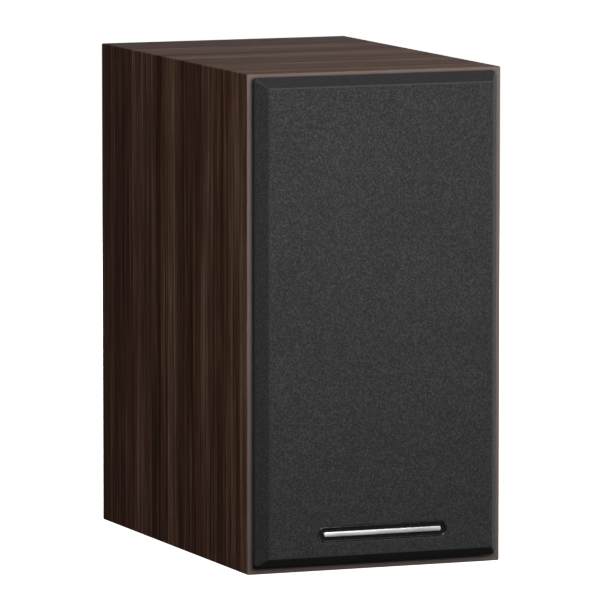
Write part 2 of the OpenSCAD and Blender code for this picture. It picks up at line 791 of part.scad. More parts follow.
module post_studs() color("#c8a24a") at_posts() difference() {
    translate([0, 0, cup_floor_z - cup_floor_t - stud_tail])
        cylinder(r = stud_r, h = -cup_floor_z + cup_floor_t + stud_tail);
    translate([0, 0, -socket_len]) cylinder(r = socket_r, h = socket_len + cut);
    translate([0, 0, -socket_len - cross_hole_gap - cross_hole_r]) rotate([0, 90, 0])
        cylinder(r = cross_hole_r, h = 4 * stud_r, center = true);
}

module collar() difference() {
    union() {
        translate([0, 0, cup_floor_z]) cylinder(r = collar_r, h = collar_t);
        translate([0, 0, cup_floor_z - cup_floor_t]) cylinder(r = spigot_r, h = cup_floor_t + cut);
    }
    translate([0, 0, cup_floor_z - cup_floor_t - cut])
        cylinder(r = stud_r + fastener_gap, h = cup_floor_t + collar_t + 2 * cut);
}

module red_post_collar() color(red_nylon) at_red() collar();

module black_post_collar() color(black_nylon) at_black() collar();

module clamp_washer() ring(washer_r, stud_r + running_gap, washer_z, washer_z + washer_t);

module red_clamp_washer() color(steel) at_red() clamp_washer();

module black_clamp_washer() color(steel) at_black() clamp_washer();

// Fluted grip between a smooth foot and a chamfered end
module knob() difference() {
    union() {
        translate([0, 0, knob_z]) cylinder(r = knob_r, h = knob_foot);
        translate([0, 0, knob_z + knob_foot])
            linear_extrude(knob_end_z - knob_chamfer - knob_z - knob_foot) difference() {
                circle(knob_r);
                for (i = [0 : flute_count - 1]) rotate(360 * i / flute_count)
                    translate([knob_r + flute_out, 0]) circle(flute_r);
            }
        translate([0, 0, knob_end_z - knob_chamfer])
            cylinder(r1 = knob_r - flute_r, r2 = knob_r - 2 * flute_r, h = knob_chamfer);
    }
    translate([0, 0, knob_z - cut])
        cylinder(r = stud_r + running_gap, h = knob_end_z - knob_z + 2 * cut);
}

module red_knob() color(red_nylon) at_red() knob();

module black_knob() color(black_nylon) at_black() knob();

module post_nuts() color(steel) at_posts() difference() {
    translate([0, 0, cup_floor_z - cup_floor_t - lug_t - nut_t]) cylinder(r = nut_r, h = nut_t, $fn = 6);
    translate([0, 0, cup_floor_z - cup_floor_t - lug_t - nut_t - cut])
        cylinder(r = stud_r + fastener_gap, h = nut_t + 2 * cut);
}

// Flat ring terminals with a tail pointing down
module solder_lugs() color(silver) at_posts()
    translate([0, 0, cup_floor_z - cup_floor_t - lug_t]) difference() {
        union() {
            cylinder(r = lug_r, h = lug_t);
            translate([-lug_w / 2, 0, 0]) cube([lug_w, lug_reach, lug_t]);
        }
        translate([0, 0, -cut]) cylinder(r = stud_r + fastener_gap, h = lug_t + 2 * cut);
    }

// ---- Crossover ----

module at_board_corners() {
    for (x = [-1, 1], y = [-1, 1]) translate([
        x * (board_size.x / 2 - board_hole_inset),
        board_mid_y + y * (board_size.y / 2 - board_hole_inset), board_top_z]) children();
}

module crossover_screw_holes() at_board_corners() screw_hole(crossover_screw_len);

module crossover_board() color("#3d5a3a") difference() {
    translate([-board_size.x / 2, board_mid_y - board_size.y / 2, board_top_z - board_size.z])
        cube(board_size);
    crossover_screw_holes();
}

module crossover_spacers() color(black_plastic) difference() {
    at_board_corners() translate([0, 0, -board_size.z - spacer_h])
        cylinder(r = spacer_r, h = spacer_h);
    crossover_screw_holes();
}

module crossover_screws() color(steel) at_board_corners() screw(crossover_screw_len);

module air_coil(at, size) translate([at.x, at.y, 0])
    ring(size[0], size[1], board_top_z, board_top_z + size[2]);

module woofer_inductor() color(copper) air_coil(woofer_choke_at, woofer_choke);

module tweeter_inductor() color(copper) air_coil(tweeter_choke_at, tweeter_choke);

// The wire legs of a part that lies along X, with its axis at a height above the board
module legs(x, y, half_body, height) for (side = [-1, 1])
    translate([x + side * (half_body + leg_len), y, board_top_z]) {
        translate([0, 0, height]) rotate([0, -side * 90, 0]) cylinder(r = leg_r, h = leg_len);
        cylinder(r = leg_r, h = height + leg_r);
    }

module tweeter_capacitor() color("#c9b458") {
    translate([-capacitor_len / 2, capacitor_y, board_top_z + capacitor_r + part_lift])
        rotate([0, 90, 0]) cylinder(r = capacitor_r, h = capacitor_len);
    legs(0, capacitor_y, capacitor_len / 2, capacitor_r + part_lift);
}

module crossover_resistor() color("#e4e1da") {
    translate([resistor_at.x, resistor_at.y, board_top_z + part_lift + resistor.z / 2])
        cube(resistor, center = true);
    legs(resistor_at.x, resistor_at.y, resistor.x / 2, part_lift + resistor.z / 2);
}

// ---- Hook-up wires ----

module wires() {
    tube(input_route, wire_r);
    tube(woofer_route, wire_r);
    tube(tweeter_route, wire_r);
}

module red_wires() color(red_nylon) mirror([1, 0, 0]) wires();

module black_wires() color(black_nylon) wires();

left_side_panel();
right_side_panel();
top_panel();
bottom_panel();
front_baffle();
rear_panel();
side_wadding();
top_wadding();
grille_sockets();
grille_frame();
grille_cloth();
grille_pegs();
badge_plate();
badge_bar();
tweeter_faceplate();
tweeter_surround();
tweeter_dome();
tweeter_coil_former();
tweeter_coil_winding();
tweeter_front_plate();
tweeter_magnet();
tweeter_yoke();
tweeter_terminals();
woofer_basket();
woofer_surround();
woofer_cone();
woofer_dust_cap();
woofer_spider();
woofer_coil_former();
woofer_coil_winding();
woofer_front_plate();
woofer_magnet();
woofer_yoke();
woofer_terminals();
woofer_tinsel_leads();
driver_gaskets();
driver_screws();
port_tube();
terminal_cup();
terminal_gasket();
terminal_screws();
post_studs();
red_post_collar();
black_post_collar();
red_clamp_washer();
black_clamp_washer();
red_knob();
black_knob();
post_nuts();
solder_lugs();
crossover_board();
crossover_spacers();
crossover_screws();
woofer_inductor();
tweeter_inductor();
tweeter_capacitor();
crossover_resistor();
red_wires();
black_wires();
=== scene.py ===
import json
import math

import bmesh
import bpy
from mathutils import Matrix, Vector, noise


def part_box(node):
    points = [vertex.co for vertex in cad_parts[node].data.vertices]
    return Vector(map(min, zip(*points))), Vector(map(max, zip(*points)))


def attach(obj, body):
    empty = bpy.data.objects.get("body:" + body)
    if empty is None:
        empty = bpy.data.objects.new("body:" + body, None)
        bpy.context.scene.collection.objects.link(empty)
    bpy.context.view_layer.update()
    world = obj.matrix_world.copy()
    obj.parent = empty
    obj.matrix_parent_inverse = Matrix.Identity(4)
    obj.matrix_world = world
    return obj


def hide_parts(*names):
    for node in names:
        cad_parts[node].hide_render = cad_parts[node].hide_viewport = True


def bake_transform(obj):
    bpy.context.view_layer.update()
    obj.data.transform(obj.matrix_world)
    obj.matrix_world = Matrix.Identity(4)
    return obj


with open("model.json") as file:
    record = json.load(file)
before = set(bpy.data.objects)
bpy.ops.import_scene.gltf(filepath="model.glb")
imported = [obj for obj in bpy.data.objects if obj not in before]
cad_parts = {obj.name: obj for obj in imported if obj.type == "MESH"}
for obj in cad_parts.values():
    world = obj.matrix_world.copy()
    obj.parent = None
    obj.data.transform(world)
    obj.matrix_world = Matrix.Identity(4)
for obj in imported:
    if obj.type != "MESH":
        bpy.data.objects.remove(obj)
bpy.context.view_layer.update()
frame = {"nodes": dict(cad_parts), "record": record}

# Looks of the bookshelf speaker, in metres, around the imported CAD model. X runs to the right as
# seen from the front, the front faces -Y, and the speaker stands on Z = 0.

MM = 0.001

# ---- Places taken from the frame ----

CABINET_LOW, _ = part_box("left_side_panel")
_, CABINET_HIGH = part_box("right_side_panel")
FRONT_Y = CABINET_LOW.y
REAR_FACE_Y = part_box("rear_panel")[1].y
CABINET_H = CABINET_HIGH.z


def middle(node):
    """The middle of a CAD node's box."""
    low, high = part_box(node)
    return (low + high) / 2


def extent(node):
    """The size of a CAD node's box along X, Y and Z, in millimetres."""
    low, high = (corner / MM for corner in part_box(node))
    return [b - a for a, b in zip(low, high)]


def at_front(x, z, y=FRONT_Y):
    """Frame on the cabinet's front face: local Z runs forward and local Y up."""
    return Matrix.Translation((x, y, z)) @ Matrix.Rotation(math.pi / 2, 4, "X")


def at_back_of(node):
    """The same on the back of a CAD node's box."""
    return at_front(middle(node).x, middle(node).z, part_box(node)[1].y)


def at_rear(x, z):
    """Frame on the rear panel's face: local Z runs outward and local Y down."""
    return Matrix.Translation((x, REAR_FACE_Y, z)) @ Matrix.Rotation(-math.pi / 2, 4, "X")


WOOFER = at_front(0, middle("woofer_magnet").z)
TWEETER = at_front(0, middle("tweeter_magnet").z)
PORT = at_rear(0, middle("port_tube").z)
CUP = at_rear(0, middle("terminal_cup").z)


# ---- Node materials ----

WAVE_SCALE = math.pi / 10  # Scale at which a Wave Texture's bands are one unit apart
FINISH = {}  # Each finish's material, by the name of its slot


class Tree:
    """A node tree, with short calls for the nodes that materials and the sky are built from."""

    def __init__(self, tree):
        self.nodes, self.links = tree.nodes, tree.links

    def set(self, node, key, value):
        """Gives an input a number, a colour or another node's output."""
        if isinstance(value, bpy.types.NodeSocket):
            self.links.new(value, node.inputs[key])
        else:
            node.inputs[key].default_value = value

    def node(self, kind, output, inputs, **settings):
        """Adds a node, and returns one of its outputs."""
        node = self.nodes.new("ShaderNode" + kind)
        for key, value in settings.items():
            setattr(node, key, value)
        for key, value in inputs.items():
            self.set(node, key, value)
        return node.outputs[output]

    def math(self, operation, a, b=0.0):
        return self.node("Math", 0, {0: a, 1: b}, operation=operation)

    def add(self, a, b):
        return self.math("ADD", a, b)

    def times(self, a, b):
        return self.math("MULTIPLY", a, b)

    def swing(self, value, reach, middle=0.5):
        """How far a value is from a middle, times a reach."""
        return self.times(self.math("SUBTRACT", value, middle), reach)

    def part(self, axis, vector):
        return self.node("SeparateXYZ", axis, {0: vector})

    def span(self, value, low, high, to_low=0.0, to_high=1.0):
        """The value's stretch from low to high, spread over another stretch and clamped."""
        return self.node("MapRange", 0, {"Value": value, "From Min": low, "From Max": high,
                                         "To Min": to_low, "To Max": to_high})

    def ramp(self, value, stops):
        """A colour that follows the value through stops of (place, colour)."""
        colour = self.node("ValToRGB", "Color", {0: value})
        points = colour.node.color_ramp.elements
        while len(points) < len(stops):
            points.new(1.0)
        for point, (place, tone) in zip(points, stops):
            point.position, point.color = place, (*tone, 1.0)
        return colour

    def mix(self, share, a, b):
        a, b = (v if isinstance(v, bpy.types.NodeSocket) else (*v, 1.0) for v in (a, b))
        return self.node("Mix", 2, {0: share, 6: a, 7: b}, data_type="RGBA")


class Finish(Tree):
    """A material, kept under its name. Sizes and depths are in millimetres."""

    def __init__(self, name, **sockets):
        self.material = FINISH[name] = bpy.data.materials.new(name)
        self.material.use_nodes = True
        super().__init__(self.material.node_tree)
        self.surface = self.nodes["Principled BSDF"]
        for socket, value in sockets.items():
            self.surface.inputs[socket.replace("_", " ")].default_value = value
        self.place = self.node("TexCoord", "Object", {})
        self.relief = None

    def stretch(self, sizes):
        """The place, divided by one size or by a size for each axis."""
        sizes = sizes if isinstance(sizes, tuple) else (sizes, sizes, sizes)
        return self.node("Mapping", "Vector", {
            "Vector": self.place, "Scale": tuple(1 / (MM * size) for size in sizes)})

    def noise(self, sizes, detail=2.0, roughness=0.5, distortion=0.0):
        """Noise from 0 to 1 whose features have these sizes."""
        return self.node("TexNoise", "Fac", {
            "Vector": self.stretch(sizes), "Scale": 1.0, "Detail": detail,
            "Roughness": roughness, "Distortion": distortion})

    def cells(self, size, feature="F1"):
        """Distance to the middle of the nearest cell, with cells of this size."""
        return self.node("TexVoronoi", "Distance", {"Vector": self.stretch(size), "Scale": 1.0},
                         feature=feature)

    def waves(self, pitch, along):
        """Bands from 0 to 1 with this pitch along one axis."""
        return self.node("TexWave", "Fac", {
            "Vector": self.stretch(1), "Scale": WAVE_SCALE / pitch}, wave_type="BANDS",
            wave_profile="SIN", bands_direction=along)

    def facing(self, axis):
        """How far the surface faces along one axis of the object, from 0 to 1."""
        return self.math("ABSOLUTE", self.part(axis, self.node("TexCoord", "Normal", {})))

    def bump(self, value, depth):
        """Adds relief of this depth."""
        below = {} if self.relief is None else {"Normal": self.relief}
        self.relief = self.node("Bump", "Normal", {
            "Strength": 1.0, "Distance": depth * MM, "Height": value, **below})
        self.set(self.surface, "Normal", self.relief)

    def colour(self, value):
        self.set(self.surface, "Base Color", value)

    def roughness(self, value):
        self.set(self.surface, "Roughness", value)


def shade(colour, factor):
    return tuple(c * factor for c in colour)


def walnut():
    """Wood-effect wrap: the grain runs up the sides and on across the top, and its bands follow
    the depth, so that they turn the folded edges without a break."""
    f = Finish("walnut_wrap", Specular_IOR_Level=0.0, Sheen_Weight=0.05, Sheen_Roughness=0.35,
               Sheen_Tint=(1.0, 0.90, 0.88, 1.0))
    dark, brown, tan = (0.012, 0.0040, 0.0021), (0.0485, 0.0200, 0.0108), (0.142, 0.088, 0.060)
    wander = f.swing(f.noise((170, 34, 170)), 0.016)
    kinks = f.swing(f.noise((38, 7, 38)), 0.0035)
    depth = f.add(f.add(f.math("SUBTRACT", f.part("Y", f.place), FRONT_Y), wander), kinks)
    whole = CABINET_HIGH.y - FRONT_Y
    share = f.math("DIVIDE", depth, whole)
    # Broad tone at distances in millimetres behind the front: light near it and at three bands
    tone = f.ramp(share, [(back * MM / whole, (v, v, v)) for back, v in (
        (0, 0.60), (24, 0.50), (40, 0.38), (62, 0.42), (71, 0.64), (80, 0.42), (97, 0.28),
        (104, 0.36), (113, 0.24), (122, 0.54), (135, 0.60), (143, 0.38), (154, 0.26),
        (168, 0.28), (178, 0.46), (188, 0.42), (200, 0.40), (208, 0.28), (222, 0.22),
        (236, 0.26), (259, 0.20))])
    streaks = f.noise((190, 2.2, 190), 3.0, 0.6)
    fibres = f.noise((38, 0.7, 38), 3.0, 0.7)
    value = f.add(f.add(tone, f.swing(streaks, 1.9)), f.swing(fibres, 1.3))
    colour = f.ramp(value, [(0.0, dark), (0.46, brown), (1.0, tan)])
    pores = f.span(f.noise((9, 0.32, 9), 1.0), 0.58, 0.70)
    colour = f.mix(f.times(pores, 0.45), colour, shade(dark, 0.8))
    # Painted sheen: the front ends are painted paler and greyer, standing in for the light that
    # catches the rim where the wrap meets the front
    painted_rim_sheen = f.mix(fibres, (0.098, 0.078, 0.071), (0.140, 0.113, 0.104))
    ends, ahead = f.span(f.facing("Y"), 0.55, 0.9), f.math("LESS_THAN", f.part("Y", f.place), 0.0)
    f.colour(f.mix(f.times(ends, ahead), colour, painted_rim_sheen))
    f.roughness(f.span(fibres, 0.2, 0.8, 0.46, 0.60))
    f.bump(fibres, 0.03)
    f.bump(f.math("SUBTRACT", 1.0, pores), 0.035)


def raw_board():
    """Pressed wood particles, on the faces that the wrap doesn't cover."""
    f = Finish("raw_board", Specular_IOR_Level=0.2)
    chips = f.cells(2.4)
    grit = f.noise(0.8, 3.0)
    f.colour(f.mix(grit, f.ramp(chips, [(0.1, (0.20, 0.13, 0.075)), (0.8, (0.30, 0.21, 0.13))]),
                   (0.14, 0.09, 0.05)))
    f.roughness(f.span(grit, 0.2, 0.8, 0.7, 0.95))
    f.bump(chips, 0.15)


def grille_fabric():
    """Tight polyester knit: fine threads crossing, with the faint mottle of their slack."""
    f = Finish("grille_fabric", Specular_IOR_Level=0.25, Sheen_Weight=0.06, Sheen_Roughness=0.4,
               Sheen_Tint=(0.75, 0.76, 0.80, 1.0))
    weave = f.math("MAXIMUM", f.waves(0.7, "X"), f.waves(0.7, "Z"))
    fuzz = f.noise(0.55, 2.0, 0.7)
    mottle = f.noise(1.0, 2.0, 0.7)
    slack = f.noise(30, 1.0)
    value = f.add(f.swing(mottle, 1.9), f.swing(fuzz, 1.1))
    value = f.add(f.add(value, f.swing(weave, 0.2, 0.8)), f.times(slack, 0.12))
    deep, middling, pale = (0.005, 0.005, 0.0055), (0.0176, 0.0176, 0.0178), (0.046, 0.046, 0.0465)
    colour = f.ramp(f.add(value, 0.44), [(0.0, deep), (0.5, middling), (1.0, pale)])
    # Painted shade: the cloth is darkened where it leans up or down, on the bevels above and below
    colour = f.mix(f.span(f.facing("Z"), 0.35, 0.8, 0.0, 0.45), colour, (0.0065, 0.0065, 0.0067))
    # Painted highlight: the cloth is paled along its ridges, strongest over the top and bottom
    # bevels, and along the mitres
    flat, mitre = f.facing("Y"), f.times(f.facing("X"), f.facing("Z"))
    ridge = f.times(f.span(flat, 0.62, 0.74), f.span(flat, 0.997, 0.95))
    ridge = f.times(ridge, f.span(f.facing("Z"), 0.05, 0.25, 0.25, 1.0))
    ridge_highlight = f.math("MAXIMUM", ridge, f.span(mitre, 0.06, 0.25))
    colour = f.mix(ridge_highlight, colour, (0.034, 0.034, 0.0345))
    # Painted shade: the cloth is darkened on the frame's sides
    f.colour(f.mix(f.span(flat, 0.51, 0.44), colour, (0.0030, 0.0030, 0.0032)))
    f.roughness(f.span(fuzz, 0.2, 0.8, 0.75, 0.95))
    f.bump(weave, 0.10)
    f.bump(mottle, 0.10)


def moulded(name, colour, rough, grain, depth, **sockets):
    """Moulded or sprayed surface: an even grain, and a roughness that varies a little over it."""
    f = Finish(name, **sockets)
    pits = f.noise(grain, 3.0, 0.6)
    blotch = f.noise(22)
    f.colour(f.mix(pits, shade(colour, 0.86), shade(colour, 1.14)))
    f.roughness(f.add(f.span(blotch, 0.3, 0.7, rough - 0.05, rough + 0.05),
                      f.span(pits, 0.3, 0.7, -0.03, 0.03)))
    f.bump(pits, depth)


def board_paint():
    """Black laminate with a fine leather-like grain."""
    f = Finish("baffle_board", Specular_IOR_Level=0.35)
    hide = f.cells(1.1, "SMOOTH_F1")
    grit = f.noise(0.5)
    f.colour(f.mix(hide, (0.0165, 0.0165, 0.0175), (0.0215, 0.0215, 0.0225)))
    f.roughness(f.span(grit, 0.3, 0.7, 0.44, 0.60))
    f.bump(hide, 0.06)
    f.bump(grit, 0.02)


def brushed(name, colour, rough, along=(40, 0.09, 0.09)):
    """Metal with fine lines drawn along one way."""
    f = Finish(name, Metallic=1.0)
    lines = f.noise(along, 3.0, 0.7)
    tarnish = f.noise(14, 3.0)
    f.colour(f.mix(tarnish, shade(colour, 0.90), shade(colour, 1.08)))
    f.roughness(f.add(f.span(lines, 0.25, 0.75, rough - 0.07, rough + 0.07),
                      f.span(tarnish, 0.3, 0.7, -0.03, 0.03)))
    f.bump(lines, 0.004)


def plated(name, colour, rough):
    """Plated metal: small crystals and a slightly cloudy shine."""
    f = Finish(name, Metallic=1.0)
    crystals = f.cells(1.6)
    cloud = f.noise(6, 3.0)
    f.colour(f.mix(crystals, shade(colour, 0.88), shade(colour, 1.1)))
    f.roughness(f.span(cloud, 0.3, 0.7, rough - 0.06, rough + 0.08))
    f.bump(cloud, 0.01)


def fibrous(name, light, dark, size, rough, depth):
    """Pulp, wadding or pressed fibre: tangled strands of two tones."""
    f = Finish(name, Specular_IOR_Level=0.2)
    strands = f.noise(size, 4.0, 0.7, 1.6)
    clumps = f.noise(size * 6)
    f.colour(f.mix(strands, dark, light))
    f.roughness(f.span(clumps, 0.3, 0.7, rough - 0.08, min(1.0, rough + 0.06)))
    f.bump(strands, depth)


def woven(name, colour, pitch, rough, depth):
    """Plain weave whose threads run across and up the front."""
    f = Finish(name, Specular_IOR_Level=0.25)
    weave = f.times(f.waves(pitch, "X"), f.waves(pitch, "Z"))
    slub = f.noise(pitch * 3)
    f.colour(f.mix(f.times(weave, slub), shade(colour, 0.7), shade(colour, 1.3)))
    f.roughness(f.span(slub, 0.3, 0.7, rough - 0.06, rough + 0.06))
    f.bump(weave, depth)


def wound(name, colour, wire):
    """Enamelled copper wire wound in even layers."""
    f = Finish(name, Metallic=1.0, Coat_Weight=0.6, Coat_Roughness=0.12)
    turns = f.waves(wire, "Z")
    age = f.noise(9)
    f.colour(f.mix(age, shade(colour, 0.8), shade(colour, 1.1)))
    f.roughness(f.span(turns, 0.0, 1.0, 0.36, 0.24))
    f.bump(turns, wire * 0.3)


def ferrite():
    """Sintered ferrite: matt charcoal with pits and a trace of rust-brown dust."""
    f = Finish("ferrite", Specular_IOR_Level=0.4)
    pits = f.span(f.noise(0.9, 3.0, 0.7), 0.25, 0.6)
    dust = f.noise(9, 4.0, 0.6)
    f.colour(f.mix(dust, (0.036, 0.036, 0.039), (0.062, 0.054, 0.050)))
    f.roughness(f.span(dust, 0.3, 0.7, 0.62, 0.82))
    f.bump(pits, 0.07)


def circuit_board():
    """Green lacquered laminate with wide copper tracks under the lacquer."""
    f = Finish("circuit_board", Coat_Weight=0.5, Coat_Roughness=0.2)
    lanes = f.span(f.waves(11, "X"), 0.52, 0.58)
    gaps = f.span(f.waves(26, "Y"), 0.12, 0.18)
    tracks = f.times(lanes, gaps)
    glass = f.noise(0.7)
    f.colour(f.mix(tracks, f.mix(glass, (0.020, 0.075, 0.030), (0.028, 0.095, 0.040)),
                   (0.055, 0.155, 0.060)))
    f.roughness(f.span(glass, 0.3, 0.7, 0.34, 0.46))
    f.bump(tracks, 0.035)


def finishes():
    """One material for each slot of the record, and raw board."""
    red, black = (0.34, 0.010, 0.009), (0.013, 0.013, 0.014)
    steel, gold = (0.56, 0.57, 0.60), (0.86, 0.60, 0.24)
    walnut()
    board_paint()
    grille_fabric()
    ferrite()
    circuit_board()
    raw_board()
    moulded("rear_board", (0.017, 0.017, 0.018), 0.62, 0.5, 0.05)
    fibrous("wadding", (0.72, 0.73, 0.72), (0.42, 0.43, 0.43), 1.2, 0.95, 1.2)
    moulded("black_plastic", (0.017, 0.017, 0.018), 0.42, 0.45, 0.02)
    moulded("grille_board", (0.016, 0.016, 0.017), 0.72, 0.35, 0.04)
    moulded("badge_black", (0.006, 0.006, 0.0065), 0.26, 3.0, 0.002, Coat_Weight=0.15,
            Coat_Roughness=0.1)
    brushed("badge_silver", (0.90, 0.90, 0.91), 0.44)
    brushed("dome_metal", (0.50, 0.49, 0.47), 0.34, (5, 5, 5))
    woven("soft_fabric", (0.020, 0.020, 0.022), 0.35, 0.7, 0.03)
    wound("coil_copper", (0.78, 0.34, 0.15), 1.3)
    moulded("coil_former", (0.42, 0.19, 0.045), 0.3, 4.0, 0.004, Transmission_Weight=0.25)
    plated("zinc_steel", steel, 0.30)
    fibrous("fibre_board", (0.34, 0.19, 0.09), (0.25, 0.13, 0.055), 0.5, 0.6, 0.02)
    moulded("basket_paint", (0.016, 0.016, 0.017), 0.48, 0.35, 0.03)
    moulded("surround_rubber", (0.011, 0.011, 0.0115), 0.56, 0.7, 0.01, Sheen_Weight=0.06)
    fibrous("cone_paper", (0.044, 0.044, 0.047), (0.022, 0.022, 0.024), 0.9, 0.72, 0.06)
    woven("spider_cloth", (0.42, 0.24, 0.07), 0.8, 0.72, 0.10)
    fibrous("gasket_foam", (0.030, 0.030, 0.031), (0.014, 0.014, 0.015), 0.6, 0.9, 0.15)
    brushed("screw_black", (0.055, 0.055, 0.060), 0.36, (1.5, 1.5, 1.5))
    brushed("post_brass", gold, 0.20, (3, 0.12, 3))
    moulded("red_nylon", red, 0.26, 1.2, 0.006, Coat_Weight=0.25, Subsurface_Weight=0.05)
    moulded("black_nylon", black, 0.26, 1.2, 0.006, Coat_Weight=0.25)
    moulded("capacitor_film", (0.60, 0.40, 0.060), 0.24, 5.0, 0.01, Coat_Weight=0.4)
    fibrous("resistor_ceramic", (0.74, 0.72, 0.68), (0.60, 0.58, 0.54), 0.8, 0.85, 0.08)
    moulded("wire_red", red, 0.40, 1.5, 0.01)
    moulded("wire_black", black, 0.40, 1.5, 0.01)


finishes()
SLOT_OF = {part["node"]: part["material_slot"] for part in frame["record"]["subparts"]}
BODY_OF = {node: body for body, members in frame["record"]["behaviour"]["bodies"].items()
           for node in members}


# ---- Mesh building ----

class Solid:
    """Points and faces of one or more skins, in millimetres."""

    def __init__(self):
        self.points = []
        self.faces = []

    def skin(self, rings, caps=True, closed=False):
        """Joins rings that have the same number of points, and caps the two ends or joins them."""
        first, size = len(self.points), len(rings[0])
        for ring in rings:
            self.points.extend(ring)
        last = len(rings) if closed else len(rings) - 1
        for k in range(last):
            a, b = first + k * size, first + (k + 1) % len(rings) * size
            for i in range(size):
                j = (i + 1) % size
                self.faces.append((a + i, a + j, b + j, b + i))
        if caps and not closed:
            self.faces.append(tuple(range(first + size - 1, first - 1, -1)))
            self.faces.append(tuple(range(first + last * size, first + last * size + size)))
        return self

    def add(self, other, matrix=Matrix()):
        """Adds a copy of another solid, moved by a matrix whose translation is in millimetres."""
        first = len(self.points)
        self.points.extend(tuple(matrix @ Vector(p)) for p in other.points)
        self.faces.extend(tuple(first + i for i in face) for face in other.faces)
        return self


def moved(x=0, y=0, z=0, turn=0):
    """Translation in millimetres after a turn in degrees about Z."""
    return Matrix.Translation((x, y, z)) @ Matrix.Rotation(math.radians(turn), 4, "Z")


def arc(x, y, radius, start, end, steps, tall=None):
    """Points on an arc from one angle to another, in degrees. Tall is an ellipse's half height."""
    angles = [math.radians(start + (end - start) * k / steps) for k in range(steps + 1)]
    return [(x + radius * math.cos(a), y + (tall or radius) * math.sin(a)) for a in angles]


def line(a, b, count):
    """Points evenly on from one point to another, without the first."""
    return [(a[0] + (b[0] - a[0]) * k / count, a[1] + (b[1] - a[1]) * k / count)
            for k in range(1, count + 1)]


def rounded(outline, radius, steps=3):
    """A closed outline with its corners rounded, each by at most what its sides allow."""
    points = []
    for k, here in enumerate(outline):
        here = Vector(here)
        before = Vector(outline[k - 1]) - here
        after = Vector(outline[(k + 1) % len(outline)]) - here
        reach = min(radius, 0.45 * before.length, 0.45 * after.length)
        a, b = here + before.normalized() * reach, here + after.normalized() * reach
        for s in range(steps + 1):
            t = s / steps
            points.append(tuple(a * (1 - t) ** 2 + here * 2 * t * (1 - t) + b * t ** 2))
    return points


def lathe(outline, steps, closed=True):
    """An outline of (radius, height) turned about Z. A radius may be a function of the angle. An
    open outline is capped at its first and last height."""
    rings = []
    for radius, z in outline:
        ring = []
        for k in range(steps):
            angle = 2 * math.pi * k / steps
            r = radius(angle) if callable(radius) else radius
            ring.append((r * math.cos(angle), r * math.sin(angle), z))
        rings.append(ring)
    return Solid().skin(rings, closed=closed)


def box_outline(w, h, radius, steps=8):
    """A rectangle with round corners about the origin."""
    points = []
    for x, y, start in ((1, 1, 0), (-1, 1, 90), (-1, -1, 180), (1, -1, 270)):
        points += arc(x * (w / 2 - radius), y * (h / 2 - radius), radius, start, start + 90, steps)
    return points


def inset(outline, by):
    """A convex outline drawn inward. Points keep their order, so insets join into a skin."""
    area = sum(a[0] * b[1] - b[0] * a[1] for a, b in zip(outline, outline[1:] + outline[:1]))
    side = 1 if area > 0 else -1
    points = []
    for k, here in enumerate(outline):
        before, after = outline[k - 1], outline[(k + 1) % len(outline)]
        edges = [Vector((here[0] - before[0], here[1] - before[1])).normalized(),
                 Vector((after[0] - here[0], after[1] - here[1])).normalized()]
        normals = [Vector((-v.y, v.x)) * side for v in edges]
        mean = (normals[0] + normals[1]).normalized()
        reach = by / max(0.3, mean.dot(normals[0]))
        points.append((here[0] + mean.x * reach, here[1] + mean.y * reach))
    return points


def round_ended(section, low, high, edge, steps):
    """Sections and their heights along a bar whose ends are rounded. The section is a function
    of how far it is drawn inward."""
    angles = [math.pi / 2 * s / steps for s in range(steps + 1)]
    ends = [(section(edge * (1 - math.sin(a))), edge * (1 - math.cos(a))) for a in angles]
    return ([(points, low + up) for points, up in ends]
            + [(points, high - up) for points, up in ends[::-1]])


def plate(outline, low, high, edge):
    """An outline given thickness, with its edges rounded top and bottom."""
    ends = round_ended(lambda off: inset(outline, off), low, high, edge, 3)
    return Solid().skin([[(x, y, z) for x, y in points] for points, z in ends])


def smooth_path(points, steps):
    """A curve through the points given."""
    points = [Vector(p) for p in points]
    path = []
    for k in range(len(points) - 1):
        a, b, c, d = (points[max(0, min(len(points) - 1, k + i))] for i in (-1, 0, 1, 2))
        for s in range(steps):
            t = s / steps
            path.append(0.5 * (2 * b + (c - a) * t + (2 * a - 5 * b + 4 * c - d) * t * t
                               + (3 * b - a - 3 * c + d) * t ** 3))
    return path + [points[-1]]


def tube(path, radius):
    """A round tube along a path."""
    rings, side, sides = [], Vector((1, 0, 0)), 10
    for k, here in enumerate(path):
        ahead = (path[min(k + 1, len(path) - 1)] - path[max(k - 1, 0)]).normalized()
        side = (side - ahead * side.dot(ahead)).normalized()
        up = ahead.cross(side)
        rings.append([tuple(here + (side * math.cos(2 * math.pi * i / sides)
                                    + up * math.sin(2 * math.pi * i / sides)) * radius)
                      for i in range(sides)])
    return Solid().skin(rings)


def raw_object(name, solid, place):
    """A Blender object made from a solid in millimetres, welded, with its faces turned outward."""
    mesh = bpy.data.meshes.new(name)
    mesh.from_pydata([tuple(place @ (Vector(p) * MM)) for p in solid.points], [], solid.faces)
    mesh.validate()
    work = bmesh.new()
    work.from_mesh(mesh)
    bmesh.ops.remove_doubles(work, verts=work.verts, dist=1e-7)
    bmesh.ops.recalc_face_normals(work, faces=work.faces)
    work.to_mesh(mesh)
    work.free()
    made = bpy.data.objects.new(name, mesh)
    bpy.context.scene.collection.objects.link(made)
    return made


def carve(made, tool):
    """Cuts one object out of another, and removes the tool."""
    cut = made.modifiers.new("cut", "BOOLEAN")
    cut.operation, cut.solver, cut.object = "DIFFERENCE", "EXACT", tool
    whole = made.evaluated_get(bpy.context.evaluated_depsgraph_get())
    mesh = bpy.data.meshes.new_from_object(whole)
    made.modifiers.clear()
    made.data = mesh
    bpy.data.objects.remove(tool)


